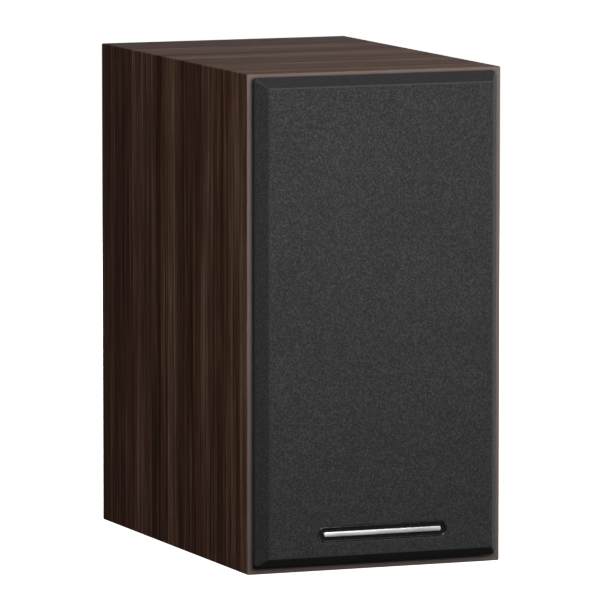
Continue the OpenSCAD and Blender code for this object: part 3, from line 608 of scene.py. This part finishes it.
def piece(name, solid, nodes, place=Matrix(), sharp=35, rides=True, cuts=None):
    """A shown piece that stands for some CAD nodes, with their body and material slot. Its solid
    and what is cut from it are in millimetres, and the place matrix says where they go."""
    made = raw_object(name, solid, place)
    if cuts is not None:
        carve(made, raw_object(name + "_tool", cuts, place))
    made.data.shade_smooth()
    made.data.set_sharp_from_angle(angle=math.radians(sharp))
    slot = SLOT_OF[nodes[0]]
    made.data.materials.clear()
    made.data.materials.append(FINISH[slot])
    if rides:
        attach(made, BODY_OF[nodes[0]])
    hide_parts(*nodes)
    return made


def stretch_between(made, weight):
    """Meant to bend a piece between the cabinet and a diaphragm: it bakes the piece's place into
    its mesh and works out each point's weight, from 0 to 1, of how far it follows the diaphragm,
    but the weights are not kept, so nothing bends."""
    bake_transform(made)
    [weight(v.co) for v in made.data.vertices]


def ease(share):
    share = max(0.0, min(1.0, share))
    return share * share * (3 - 2 * share)


def inward(axis, start, reach):
    """Weight that eases from 0 at a radius about a driver's axis to 1 further in."""
    return lambda v: ease((start - math.hypot(v.x - axis.x, v.z - axis.z) / MM) / reach)


# ---- Cabinet ----

def cabinet_panels():
    """Four folded panels. Each outline is a mitred bar whose outer corners are half of a fold, and
    its ends are rounded where the wrap turns round the board."""
    w, h = CABINET_HIGH.x / MM * 2, CABINET_H / MM
    t = (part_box("front_baffle")[0].x - CABINET_LOW.x) / MM
    fold, turn, steps = 0.9, 0.7, 5
    front, rear = FRONT_Y / MM, CABINET_HIGH.y / MM

    def outline(length, off):
        """A bar's section in X and Z, its outer face at Z = 0 and its mitres at 45 degrees."""
        r = fold - off
        left = arc(-length / 2 + fold, fold, r, 225, 270, steps)
        right = arc(length / 2 - fold, fold, r, 270, 315, steps)
        return left + right + [(length / 2 - t - off, t - off), (-length / 2 + t + off, t - off)]

    def bar(length):
        ends = round_ended(lambda off: outline(length, off), front, rear, turn, steps)
        return Solid().skin([[(x, y, z) for x, z in points] for points, y in ends])

    for name, degrees, reach, length in (
            ("bottom_panel", 0, h / 2, w), ("left_side_panel", 90, w / 2, h),
            ("top_panel", 180, h / 2, w), ("right_side_panel", 270, w / 2, h)):
        spin = Matrix.Rotation(math.radians(degrees), 4, "Y")
        place = moved(z=h / 2) @ spin @ moved(z=-reach)
        panel = piece(name + "_wrap", Solid().add(bar(length), place), [name], sharp=50)
        panel.data.materials.append(FINISH["raw_board"])
        for face in panel.data.polygons:
            to_middle = Vector((0, 0, CABINET_H / 2)) - Vector((face.center.x, 0, face.center.z))
            if abs(face.normal.y) < 0.1 and face.normal.dot(to_middle) > 0 and face.area > 1e-5:
                face.material_index = 1


def pad(low, high, seed):
    """A loose fibre pad that fills a box: thinner towards its edges, with a lumpy face."""
    work = bmesh.new()
    bmesh.ops.create_cube(work, size=2)
    bmesh.ops.subdivide_edges(work, edges=work.edges[:], cuts=23, use_grid_fill=True)
    half, centre = (high - low) / 2, (high + low) / 2
    thin = min(range(3), key=lambda axis: half[axis])
    wide = [axis for axis in range(3) if axis != thin]
    solid = Solid()
    for vert in work.verts:
        p = vert.co.copy()
        edge = max(abs(p[axis]) for axis in wide)
        lump = 0.5 + 0.5 * noise.noise(Vector((p.x * 3.1 + seed, p.y * 4.3, p.z * 3.7)))
        p[thin] *= (1 - 0.45 * edge ** 8) * (1 - 0.14 * lump)
        for axis in wide:
            p[axis] *= 1 - 0.012 * lump - 0.03 * abs(vert.co[thin]) ** 4 * edge ** 8
        solid.points.append(tuple(centre[axis] + half[axis] * p[axis] for axis in range(3)))
    solid.faces = [tuple(vert.index for vert in face.verts) for face in work.faces]
    work.free()
    return solid


def wadding():
    """Fibre pads on the two side panels and under the top."""
    low, high = (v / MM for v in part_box("side_wadding"))
    thick = extent("top_wadding")[2]
    sides = Solid().add(pad(low, Vector((low.x + thick, high.y, high.z)), 1))
    sides.add(pad(Vector((high.x - thick, low.y, low.z)), high, 5))
    piece("side_wadding_pads", sides, ["side_wadding"], sharp=90)
    low, high = (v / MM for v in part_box("top_wadding"))
    piece("top_wadding_pad", pad(low, high, 9), ["top_wadding"], sharp=90)


# ---- Grille ----

def ring_round(w, h, radius, height, xs, zs, steps):
    """One loop round the grille: a corner arc, then the points of the side that follows it."""
    a, b, points = w / 2 - radius, h / 2 - radius, []
    for k, (cx, cz) in enumerate(((1, 1), (-1, 1), (-1, -1), (1, -1))):
        points += arc(cx * a, cz * b, radius, 90 * k, 90 * k + 90, steps)
        inner = xs[1:-1] if k % 2 == 0 else zs[1:-1]
        inner = inner[::-1] if k < 2 else inner
        points += [(v * a, cz * (b + radius)) if k % 2 == 0 else (cx * (a + radius), v * b)
                   for v in inner]
    return [(x, z, height) for x, z in points]


def nearest_on(w, h, radius, x, z):
    """The point of a rounded rectangle that is nearest to a point outside it."""
    a, b = w / 2 - radius, h / 2 - radius
    cx, cz = max(-a, min(a, x)), max(-b, min(b, z))
    away = Vector((x - cx, z - cz))
    away = away.normalized() * radius if away.length > 1e-6 else away
    return cx + away.x, cz + away.y


# The grille's straight side and its bevel's width, and the hem behind it
SIDE_H, BEVEL_W, HEM = 4.2, 6.2, 11.0
BADGE_CORNER = 3.6


def cloth_loops(t):
    """Loops from the hem over both ridges, each as how far it lies inside the outline, its height
    and its corner radius."""
    side, bevel, corner, hem_gap = SIDE_H, BEVEL_W, 3.0, 0.32
    slope = math.atan2(t - side, bevel)
    loops = [(HEM, -hem_gap, 0.8), (HEM - 1.5, -hem_gap, 0.8), (5.0, -hem_gap, 1.2),
             (2.2, -hem_gap, 2.0), (1.35, -0.1, 2.3), (0.95, 0.5, 2.5), (0.45, 1.5, 2.8),
             (0.1, 2.5, corner)]
    # Arcs over the lower ridge, from straight up to the bevel, and over the upper one on to flat
    lower, upper = 2.2, 1.6
    reach = lower * math.tan((math.pi / 2 - slope) / 2)
    for s in range(5):
        a = (math.pi / 2 - slope) * s / 4
        loops.append((lower * (1 - math.cos(a)), side - reach + lower * math.sin(a),
                      corner - 0.2 * s))
    reach, ridge = upper * math.tan(slope / 2), loops[-1]
    start = (bevel - reach * math.cos(slope), t - reach * math.sin(slope))
    for share in (0.25, 0.5, 0.75):
        loops.append((ridge[0] * (1 - share) + start[0] * share,
                      ridge[1] * (1 - share) + start[1] * share, 2.2 - 1.7 * share))
    for s in range(6):
        a = slope * (1 - s / 5)
        loops.append((bevel + reach - upper * math.sin(a), t - upper * (1 - math.cos(a)), 0.5))
    return loops


def grid_lines(stops, counts):
    """Values through some stops, with each stretch between two of them divided by its count."""
    values = []
    for low, high, count in zip(stops, stops[1:], counts):
        values += [low + (high - low) * k / count for k in range(count)]
    return values + [stops[-1]]


def grille_cloth():
    """Cloth pulled tight over a bevelled frame: round ridges, soft mitres, a hem turned onto the
    frame's back, and a slot whose lip rolls in round the badge."""
    w, t, h = extent("grille_cloth")
    loops, steps = cloth_loops(t), 6
    # Lines of the front's grid, closer together round the badge
    badge_w, _, badge_h = extent("badge_plate")
    badge_x, _, badge_z = (middle("badge_plate") - middle("grille_cloth")) / MM
    off, _, radius = loops[-1]
    a, b = w / 2 - off - radius, h / 2 - off - radius
    margin, gap = 2.5, 0.25
    slot_x = [badge_x - badge_w / 2 - margin, badge_x + badge_w / 2 + margin]
    slot_z = [badge_z - badge_h / 2 - margin, badge_z + badge_h / 2 + margin]
    xs = grid_lines([-a, slot_x[0], slot_x[0] + 6, slot_x[1] - 6, slot_x[1], a], [7, 6, 14, 6, 7])
    zs = grid_lines([-b, slot_z[0], slot_z[1], b], [4, 14, 40])
    rings = [ring_round(w - 2 * off, h - 2 * off, radius, height, [x / a for x in xs],
                        [z / b for z in zs], steps) for off, height, radius in loops]
    solid = Solid().skin(rings, caps=False)
    slot = (badge_x, badge_z, badge_w + 2 * gap, badge_h + 2 * gap, BADGE_CORNER + gap)
    fill_front(solid, len(solid.points) - len(rings[-1]), xs, zs, steps, slot_x, slot_z, slot, t)
    cloth = piece("grille_cloth_stretched", solid, ["grille_cloth"], at_back_of("grille_cloth"),
                  sharp=80)


def fill_front(solid, start, xs, zs, steps, slot_x, slot_z, slot, height):
    """Fills the last loop with a grid, a fan at each corner, and the badge's slot."""
    nx, nz = len(xs) - 1, len(zs) - 1
    size, grid = len(solid.points) - start, {}
    for j, z in enumerate(zs):
        for i, x in enumerate(xs):
            grid[i, j] = len(solid.points)
            solid.points.append((x, z, height))
    left, right = (xs.index(v) for v in slot_x)
    low, high = (zs.index(v) for v in slot_z)
    for j in range(nz):
        for i in range(nx):
            if not (left <= i < right and low <= j < high):
                solid.faces.append(
                    (grid[i, j], grid[i + 1, j], grid[i + 1, j + 1], grid[i, j + 1]))
    # The border: each corner's arc, then its side, in the order of the loop
    at = start
    for border in ([(nx - i, nz) for i in range(nx + 1)], [(0, nz - j) for j in range(nz + 1)],
                   [(i, 0) for i in range(nx + 1)], [(nx, j) for j in range(nz + 1)]):
        for i in range(steps):
            solid.faces.append((at + i, at + i + 1, grid[border[0]]))
        at += steps
        for here, following in zip(border, border[1:]):
            beyond = start + (at + 1 - start) % size
            solid.faces.append((at, beyond, grid[following], grid[here]))
            at += 1
    # The slot: from the grid's edge to the tray's outline, and over its lip
    edge = ([(i, low) for i in range(left, right)] + [(right, j) for j in range(low, high)]
            + [(i, high) for i in range(right, left, -1)]
            + [(left, j) for j in range(high, low, -1)])
    x0, z0, w, h, radius = slot
    rings = [[solid.points[grid[key]] for key in edge]]
    for grow, drop in ((0.55, 0.0), (0.25, 0.06), (0.06, 0.26), (0.0, 0.55), (0.0, 1.3)):
        ring = []
        for key in edge:
            x, z, _ = solid.points[grid[key]]
            px, pz = nearest_on(w + 2 * grow, h + 2 * grow, radius + grow, x - x0, z - z0)
            ring.append((px + x0, pz + z0, height - drop))
        rings.append(ring)
    solid.skin(rings, caps=False)


def badge():
    """Glossy black tray with a thin rim, and the plain brushed bar that lies in it."""
    w, t, h = extent("badge_plate")
    rim, floor = 0.7, 1.2
    outline = box_outline(w, h, BADGE_CORNER)
    profile = [(0, 0), (0, t - 0.25), (0.08, t - 0.08), (0.25, t), (rim - 0.2, t),
               (rim - 0.05, t - 0.1), (rim, t - 0.3), (rim + 0.1, t - floor + 0.3),
               (rim + 0.4, t - floor)]
    tray = Solid().skin([[(x, z, height) for x, z in inset(outline, off)]
                         for off, height in profile])
    place = at_back_of("badge_plate")
    piece("badge_tray", tray, ["badge_plate"], place)
    w, thick, h = extent("badge_bar")
    bar = plate(box_outline(w, h, h / 3, 6), t - floor, t - floor + thick, 0.35)
    piece("badge_bar_brushed", bar, ["badge_bar"], place)


# ---- Screws and drivers ----

SHANK_R, HEAD_R, HEAD_H, SUNK = 1.7, 3.4, 2.2, 0.2
KEY_R, KEY_DEPTH, THREAD, SCREW_GAP = 1.45, 1.3, 1.2, 0.05
DRIVER_SCREW, CUP_SCREW = 15, 13
WOOFER_SCREWS_R, TWEETER_SCREWS_R = 64.75, 45.5


def screw(length):
    """Countersunk screw with a hexagon socket and a ridged shank, its head just below Z = 0."""
    def hexagon(radius):
        return lambda angle: radius * math.cos(math.pi / 6) / math.cos(
            angle % (math.pi / 3) - math.pi / 6)

    rings = [(0.2, -length), (0.9, -length + 1.6)]
    root = SHANK_R - 0.45
    for k in range(int((length - HEAD_H - 2.2) / THREAD)):
        z = -length + 1.9 + THREAD * k
        rings += [(root, z), (SHANK_R, z + 0.45), (SHANK_R, z + 0.6), (root, z + 1.0)]
    rings += [(SHANK_R, -HEAD_H), (HEAD_R - 0.12, -0.16), (HEAD_R, -0.06), (HEAD_R - 0.1, 0),
              (KEY_R + 0.6, 0), (hexagon(KEY_R + 0.14), 0), (hexagon(KEY_R), -0.14),
              (hexagon(KEY_R), -KEY_DEPTH), (0.1, -KEY_DEPTH - 0.25)]
    return Solid().add(lathe(rings, 48, False), moved(z=-SUNK))


def screw_cutter(length):
    """What a screw's hole and countersink take out of the piece that it holds."""
    shank, head = SHANK_R + SCREW_GAP, HEAD_R + SCREW_GAP
    outline = [(shank, -length - 2), (shank, -SUNK - HEAD_H), (head, -SUNK), (head, 2)]
    return lathe(outline, 48, False)


def at_corners(radius, part):
    solid = Solid()
    for turn in (45, 135, 225, 315):
        a = math.radians(turn)
        solid.add(part, moved(radius * math.cos(a), radius * math.sin(a)))
    return solid


def dome(radius, height, thick, foot):
    """A thin dome, lathed from its foot over the crown and back underneath."""
    steps = 14
    big = (radius ** 2 + height ** 2) / (2 * height)
    end, centre = math.degrees(math.asin(radius / big)), foot + height - big
    outer = arc(0, centre, big, 90 - end, 90, steps)
    inner = arc(0, centre, big - thick, 90, 90 - end, steps)
    return lathe([(max(0.02, r), z) for r, z in outer + inner], 96)


def coil(inner, outer, low, high, wire):
    """A winding whose outer side shows its turns."""
    turns = max(1, round((high - low) / wire))
    pitch = (high - low) / turns
    outline = [(inner, high), (inner, low)]
    for k in range(turns):
        outline += arc(outer - pitch / 2, low + pitch * (k + 0.5), pitch / 2, -90, 90, 6)
    return lathe(outline, 72)


# The woofer's sections are (radius, height), with heights counted forward from the front's face
FORMER_R, CONE_NECK, CONE_MOUTH = 12.75, (13.6, -31), (47.8, -3)


def woofer_basket():
    """Cast basket: its flange, the cone's recess, the sloping wall, the spider's shelf and its
    outside, with four windows between its arms."""
    wall = [(69, -0.5), (68.9, -0.15), (68.5, 0), (61.3, 0), (60.7, -0.15), (60.5, -0.6),
            (60.5, -3), (57, -3), (57, -12), (35, -34), (28, -34), (28, -36), (34, -36), (34, -40),
            (19, -40), (19, -42), (36, -42), (36, -36), (59, -13), (59, -4.5), (69, -4.5)]
    windows = Solid()
    wedge = [(4, -2.4), (80, -48), (80, 48), (4, 2.4)]
    for turn in (0, 90, 180, 270):
        windows.add(plate(rounded(wedge, 3), -33, -16, 0.0), moved(turn=turn))
    windows.add(at_corners(WOOFER_SCREWS_R, screw_cutter(DRIVER_SCREW)))
    piece("woofer_basket_cast", lathe(wall, 144), ["woofer_basket"], WOOFER, cuts=windows)


def woofer_surround():
    """Half roll of rubber, with a flat lip glued to the basket and another to the cone."""
    r, z = 54, CONE_MOUTH[1]
    roll = ([(60.45, z), (60.45, -2.35), (60.3, -2.2)] + arc(r, z, 3.8, 12.2, 167.8, 22)
            + [(48.1, -2.2), (47.8, -2.45), (47.8, z), (r - 3, z)] + arc(r, z, 3, 180, 0, 22)[1:])
    made = piece("woofer_surround_rolled", lathe(roll, 144), ["woofer_surround"], WOOFER,
                 sharp=50, rides=False)
    stretch_between(made, inward(WOOFER.translation, 57, 6))


def woofer_cone():
    """Straight paper cone with a rim under the rubber, and its dust cap."""
    foot_z, cap_r = -33, 19
    cone = [(FORMER_R, CONE_NECK[1]), CONE_NECK] + line(CONE_NECK, CONE_MOUTH, 16)
    cone += [(50.8, -3), (51, -3.2), (51, -3.6), (50.8, -3.7), (48.15, -3.7)]
    cone += line((48.15, -3.7), (CONE_NECK[0], -32), 16)
    cone += [(CONE_NECK[0], foot_z), (FORMER_R, foot_z)]
    piece("woofer_cone_paper", lathe(cone, 144), ["woofer_cone"], WOOFER)
    slope = (CONE_MOUTH[1] - CONE_NECK[1]) / (CONE_MOUTH[0] - CONE_NECK[0])
    seat = CONE_NECK[1] + slope * (cap_r - CONE_NECK[0]) + 0.1
    piece("woofer_dust_cap_dome", dome(cap_r, 7, 0.7, seat), ["woofer_dust_cap"], WOOFER)


def woofer_spider():
    """Pleated cloth: a sine between two radii, given half its thickness each way, and two rims."""
    inner, outer, level, steps = 14.4, 27.9, -33.7, 60
    rise, half_wave, half_thick = 1.35, 2.7, 0.3
    top, bottom = [], []
    for k in range(steps + 1):
        r = inner + (outer - inner) * k / steps
        phase = math.pi * (r - inner) / half_wave
        z = level + rise * math.sin(phase)
        slope = rise * math.pi / half_wave * math.cos(phase)
        size = half_thick / math.hypot(1, slope)
        top.append((r - slope * size, z + size))
        bottom.append((r + slope * size, z - size))
    web = [(12.8, -34), (12.8, -33.4)] + top + [(28.3, -33.4), (34.25, -33.4), (34.25, -34),
                                                (28.3, -34)] + bottom[::-1]
    made = piece("woofer_spider_pleated", lathe(web, 120), ["woofer_spider"], WOOFER, sharp=60,
                 rides=False)
    stretch_between(made, inward(WOOFER.translation, 28, 13.5))


def woofer_leads():
    """Two braided leads, from the basket's terminals to the cone, at the same distance from the
    middle."""
    x, radius = 6, 0.5
    route = [(42, -35.9), (42.6, -32), (40, -28), (35, -26.5), (30, -26), (27, -24.5), (26, -22.8)]
    leads = Solid()
    for side in (x, -x):
        leads.add(tube(smooth_path([(side, y, z) for y, z in route], 5), radius))
    made = piece("woofer_tinsel_braid", leads, ["woofer_tinsel_leads"], WOOFER, rides=False)
    stretch_between(made,
                    lambda v: ease((41 - (v.z - WOOFER.translation.z) / MM) / 13))


def woofer():
    """A painted basket, a paper cone with a rolled rubber edge, a corrugated spider and leads."""
    woofer_basket()
    woofer_surround()
    woofer_cone()
    woofer_spider()
    piece("woofer_coil_wound", coil(FORMER_R, 13.3, -50, -39, 0.55), ["woofer_coil_winding"],
          WOOFER)
    woofer_leads()


def tweeter():
    """A moulded faceplate with a short horn, round a metal dome on a soft roll, and the screws
    of both drivers."""
    # The plate's edge and groove, the horn down to its throat, and the back
    section = ([(50, -0.6), (49.85, -0.2), (49.4, 0), (35.6, 0), (35.2, -0.3), (34.4, -0.3),
                (34, -0.02)] + arc(33, -6.72, 17, 90, 156, 24, 6.72)
               + [(16.2, -4.2), (16, -4.4), (16, -5.2), (16.2, -5.4), (17.8, -5.4), (17.8, -8),
                  (34, -8), (36, -4), (50, -4)])
    piece("tweeter_faceplate_moulded", lathe(section, 144), ["tweeter_faceplate"], TWEETER,
          cuts=at_corners(TWEETER_SCREWS_R, screw_cutter(DRIVER_SCREW)))
    seat_z, roll_r = -5.65, 14.1
    piece("tweeter_dome_metal", dome(12.85, 5.2, 0.25, seat_z), ["tweeter_dome"], TWEETER)
    roll = ([(17.35, seat_z), (17.35, -5.4)] + arc(roll_r, seat_z, 1.15, 12.6, 180, 14)
            + arc(roll_r, seat_z, 0.9, 180, 0, 14))
    surround = piece("tweeter_surround_rolled", lathe(roll, 96), ["tweeter_surround"], TWEETER,
                     sharp=50, rides=False)
    stretch_between(surround, inward(TWEETER.translation, 15, 1.8))
    piece("tweeter_coil_wound", coil(12.6, 12.95, -11.5, -8.5, 0.3), ["tweeter_coil_winding"],
          TWEETER)
    screws = at_corners(WOOFER_SCREWS_R, screw(DRIVER_SCREW))
    screws.add(at_corners(TWEETER_SCREWS_R, screw(DRIVER_SCREW)),
               moved(y=(TWEETER.translation.z - WOOFER.translation.z) / MM))
    piece("driver_screws_socket", screws, ["driver_screws"], WOOFER)


# ---- Rear ----

POST_PITCH = 19.05
POSTS = (-POST_PITCH / 2, POST_PITCH / 2)


def port():
    """Reflex port with a flared mouth and a rounded lip on the rear panel."""
    flare_r, flare_z, end_z = 32, -16, -110
    outline = ([(21.2, end_z), (21, end_z + 0.5)] + arc(flare_r, flare_z, 11, 180, 90, 28, 18)
               + [(34.6, 2)] + arc(35.0, 0.6, 1.4, 90, 0, 6)
               + [(36.4, 0.15), (36.2, 0), (flare_r, 0)]
               + arc(flare_r, flare_z, 8.5, 90, 180, 20, 14)
               + [(23.5, end_z + 0.5), (23.3, end_z)])
    piece("port_tube_flared", lathe(outline, 144), ["port_tube"], PORT)


def knob():
    """Fluted grip above a smooth foot, with a round edge at each end."""
    grip_r, bore_r, count = 7.3, 3.05, 14
    bite_r, bite_out = 0.8, 7.5  # Each flute is bitten by a round this far from the middle

    def flutes(depth):
        def radius(angle):
            off = (angle + math.pi / count) % (2 * math.pi / count) - math.pi / count
            side = bite_out * math.sin(off)
            if abs(side) >= bite_r:
                return grip_r
            near = bite_out * math.cos(off) - math.sqrt(bite_r ** 2 - side ** 2)
            return grip_r - depth * max(0.0, grip_r - near)
        return radius

    full = flutes(1.0)
    rings = [(bore_r, -21.7), (6.8, -21.7), (7.15, -21.6), (grip_r, -21.3), (grip_r, -19.3),
             (7.15, -19.05), (7.15, -18.85), (grip_r, -18.65), (flutes(0.0), -18.5),
             (flutes(0.55), -18.1), (full, -17.5), (full, -9), (full, -2.6), (6.5, -2.25),
             (6.2, -1.7), (5.95, -1.25), (5.6, -1.03), (5.2, -1.0), (3.4, -1.0), (3.15, -1.08),
             (bore_r, -1.3)]
    return lathe(rings, 12 * count)


def stud():
    """Threaded brass stud with a socket down its end and a hole across it."""
    pitch, root_r, crest = 1.0, 2.56, 0.44
    socket_r, bottom, top, step = 2.0, -40.5, -0.8, 0.25

    def thread(z):
        def radius(angle):
            turn = (z / pitch - angle / (2 * math.pi)) % 1.0
            return root_r + crest * min(1.0, max(0.0, 2.6 * abs(turn - 0.5) * 2 - 0.8))
        return radius

    rings = [(2.2, -41), (2.5, -40.7)]
    heights = [bottom + step * k for k in range(math.ceil((top - bottom) / step))]
    rings += [(thread(z), z) for z in heights]
    rings += [(root_r, -0.5), (2.9, -0.35), (2.9, -0.1), (2.8, 0), (2.25, 0), (2.05, -0.1),
              (socket_r, -0.35), (socket_r, -18.4), (0.3, -19)]
    return lathe(rings, 32, False)


def terminal_cup():
    """Recessed cup, a shell with round edges throughout, and its four screws."""
    opening_w, opening_h, flange_z, screw_x, screw_y = 70, 48, 2.8, 41, 30
    # From the back of the shell round its flange and down into the recess: how much wider than
    # the opening, the corner's radius, and the height
    rings = [(3.6, 8.3, -31), (4.6, 8.8, -30.7), (5, 9, -29.9), (5, 9, 0.8), (21.5, 7.8, 0.8),
             (22, 8, 1.05), (22, 8, 2.0), (21.8, 7.9, 2.45), (21.3, 7.6, 2.72),
             (20.6, 7.3, flange_z), (1.8, 7.4, flange_z), (0.8, 6.9, 2.68), (0.2, 6.6, 2.4),
             (0, 6.5, 1.9), (0, 6.5, -26.6), (-0.5, 6.3, -27.5), (-1.4, 5.8, -27.9),
             (-2.4, 5.3, -28)]
    shell = Solid().skin([
        [(x, y, z) for x, y in box_outline(opening_w + wider, opening_h + wider, radius, 7)]
        for wider, radius, z in rings])
    tools, screws = Solid(), Solid()
    for x in (-screw_x, screw_x):
        for y in (-screw_y, screw_y):
            tools.add(screw_cutter(CUP_SCREW), moved(x, y, flange_z))
            screws.add(screw(CUP_SCREW), moved(x, y, flange_z))
    for x in POSTS:
        tools.add(lathe([(4.05, -35), (4.05, -20)], 48, False), moved(x))
    piece("terminal_cup_moulded", shell, ["terminal_cup"], CUP, cuts=tools)
    piece("terminal_screws_socket", screws, ["terminal_screws"], CUP)


def terminal_posts():
    """Two studs with a hole across each, and a collar, a washer and a knob on each."""
    studs, holes = Solid(), Solid()
    across = Matrix.Rotation(math.pi / 2, 4, "Y")
    for x in POSTS:
        studs.add(stud(), moved(x))
        holes.add(lathe([(1.25, -6), (1.25, 6)], 32, False), moved(x, 0, -21.5) @ across)
    piece("post_studs_threaded", studs, ["post_studs"], CUP, cuts=holes)
    collar = [(4, -31), (4, -28.0), (6.3, -28), (6.5, -27.8), (6.5, -23.9), (6.4, -23.6),
              (6.1, -23.5), (3.4, -23.5), (3.05, -23.7), (3.05, -31)]
    washer = rounded([(6.2, -23.2), (6.2, -22), (3.05, -22), (3.05, -23.2)], 0.15, 1)
    for colour, x in zip(("red", "black"), POSTS):
        post = CUP @ Matrix.Translation((x * MM, 0, 0))
        piece(colour + "_collar_moulded", lathe(collar, 72), [colour + "_post_collar"], post)
        piece(colour + "_washer_turned", lathe(washer, 72), [colour + "_clamp_washer"], post)
        piece(colour + "_knob_fluted", knob(), [colour + "_knob"], post, sharp=50)


cabinet_panels()
wadding()
grille_cloth()
badge()
woofer()
tweeter()
port()
terminal_cup()
terminal_posts()

# ---- CAD nodes that stay ----

for node, kept in frame["nodes"].items():
    kept.data.materials.clear()
    kept.data.materials.append(FINISH[SLOT_OF[node]])
    if kept.hide_render:
        continue
    edges = kept.modifiers.new("edges", "BEVEL")
    edges.width, edges.segments, edges.limit_method = 0.25 * MM, 2, "ANGLE"
    edges.angle_limit, edges.harden_normals = math.radians(40), True


# ---- Floor, light and camera ----

def pale_floor():
    """A wide floor that stays white, and sends no light back onto the speaker."""
    mesh = bpy.data.meshes.new("floor")
    reach = 40
    mesh.from_pydata([(-reach, -reach, 0), (reach, -reach, 0), (reach, reach, 0),
                      (-reach, reach, 0)], [], [(0, 1, 2, 3)])
    floor = bpy.data.objects.new("floor", mesh)
    floor.location.z = -0.05 * MM
    bpy.context.scene.collection.objects.link(floor)
    pale = Finish("floor_pale", Specular_IOR_Level=0.0, Roughness=1.0,
                  Emission_Color=(1.0, 1.0, 1.0, 1.0), Emission_Strength=0.86)
    pale.colour(pale.mix(pale.noise(900), (0.94, 0.94, 0.94), (0.96, 0.96, 0.96)))
    mesh.materials.append(pale.material)
    floor.visible_diffuse = False
    floor.visible_glossy = False


def lights():
    """A small key close in front, which falls off down the cloth, and wide soft lights on both
    sides and behind. Angles are in degrees to the right of the front and above it. The rear light
    is kept out of reflections, so that it doesn't glare along the top."""
    target = Vector((0, 0, CABINET_H / 2))
    for name, azimuth, elevation, distance, width, height, light in (
            ("key", -3, 17, 0.60, 0.36, 0.3, 1.0), ("right", 78, 13, 1.4, 1.2, 1.2, 0.98),
            ("left", -120, 15, 1.7, 1.2, 1.2, 0.48), ("rear", 170, 38, 1.6, 1.2, 1.2, 0.86)):
        lamp = bpy.data.lights.new(name, "AREA")
        lamp.shape, lamp.size, lamp.size_y, lamp.energy = (
            "RECTANGLE", width, height, light * (math.pi * distance) ** 2)
        holder = bpy.data.objects.new(name, lamp)
        a, e = math.radians(azimuth), math.radians(elevation)
        away = Vector((math.sin(a) * math.cos(e), -math.cos(a) * math.cos(e), math.sin(e)))
        holder.location = target + away * distance
        holder.rotation_euler = (-away).to_track_quat("-Z", "Y").to_euler()
        holder.visible_camera = False
        holder.visible_glossy = name != "rear"
        bpy.context.scene.collection.objects.link(holder)


def dim_sky():
    """A sky that is nearly dark up to the horizon and brightens above it."""
    world = bpy.data.worlds.new("studio")
    world.use_nodes = True
    sky = Tree(world.node_tree)
    height = sky.span(sky.part("Z", sky.node("TexCoord", "Generated", {})), -1.0, 1.0)
    sky.set(sky.nodes["Background"], "Color", sky.ramp(
        height, [(0.46, (0.05, 0.05, 0.05)), (0.75, (0.20, 0.20, 0.20))]))
    bpy.context.scene.world = world
    bpy.context.scene.view_settings.view_transform = "Standard"


def camera():
    """A long lens, left of the front and a little above it."""
    yaw, pitch = math.radians(21.627), math.radians(6.5625)
    away = Vector((0.04598, 4.54299, -0.16635))  # From the lens to the front's foot
    lens = bpy.data.cameras.new("camera")
    lens.lens, lens.sensor_width = 438.7, 36.0
    lens.clip_end = 200
    holder = bpy.data.objects.new("camera", lens)
    aim = Matrix.Rotation(-yaw, 4, "Z") @ Matrix.Rotation(-pitch, 4, "X")
    forward = Matrix.Rotation(math.pi / 2, 4, "X")
    foot = Matrix.Translation((0, FRONT_Y, 0))
    holder.matrix_world = foot @ aim @ Matrix.Translation(-away) @ forward
    bpy.context.scene.collection.objects.link(holder)
    bpy.context.scene.camera = holder


pale_floor()
lights()
dim_sky()
camera()
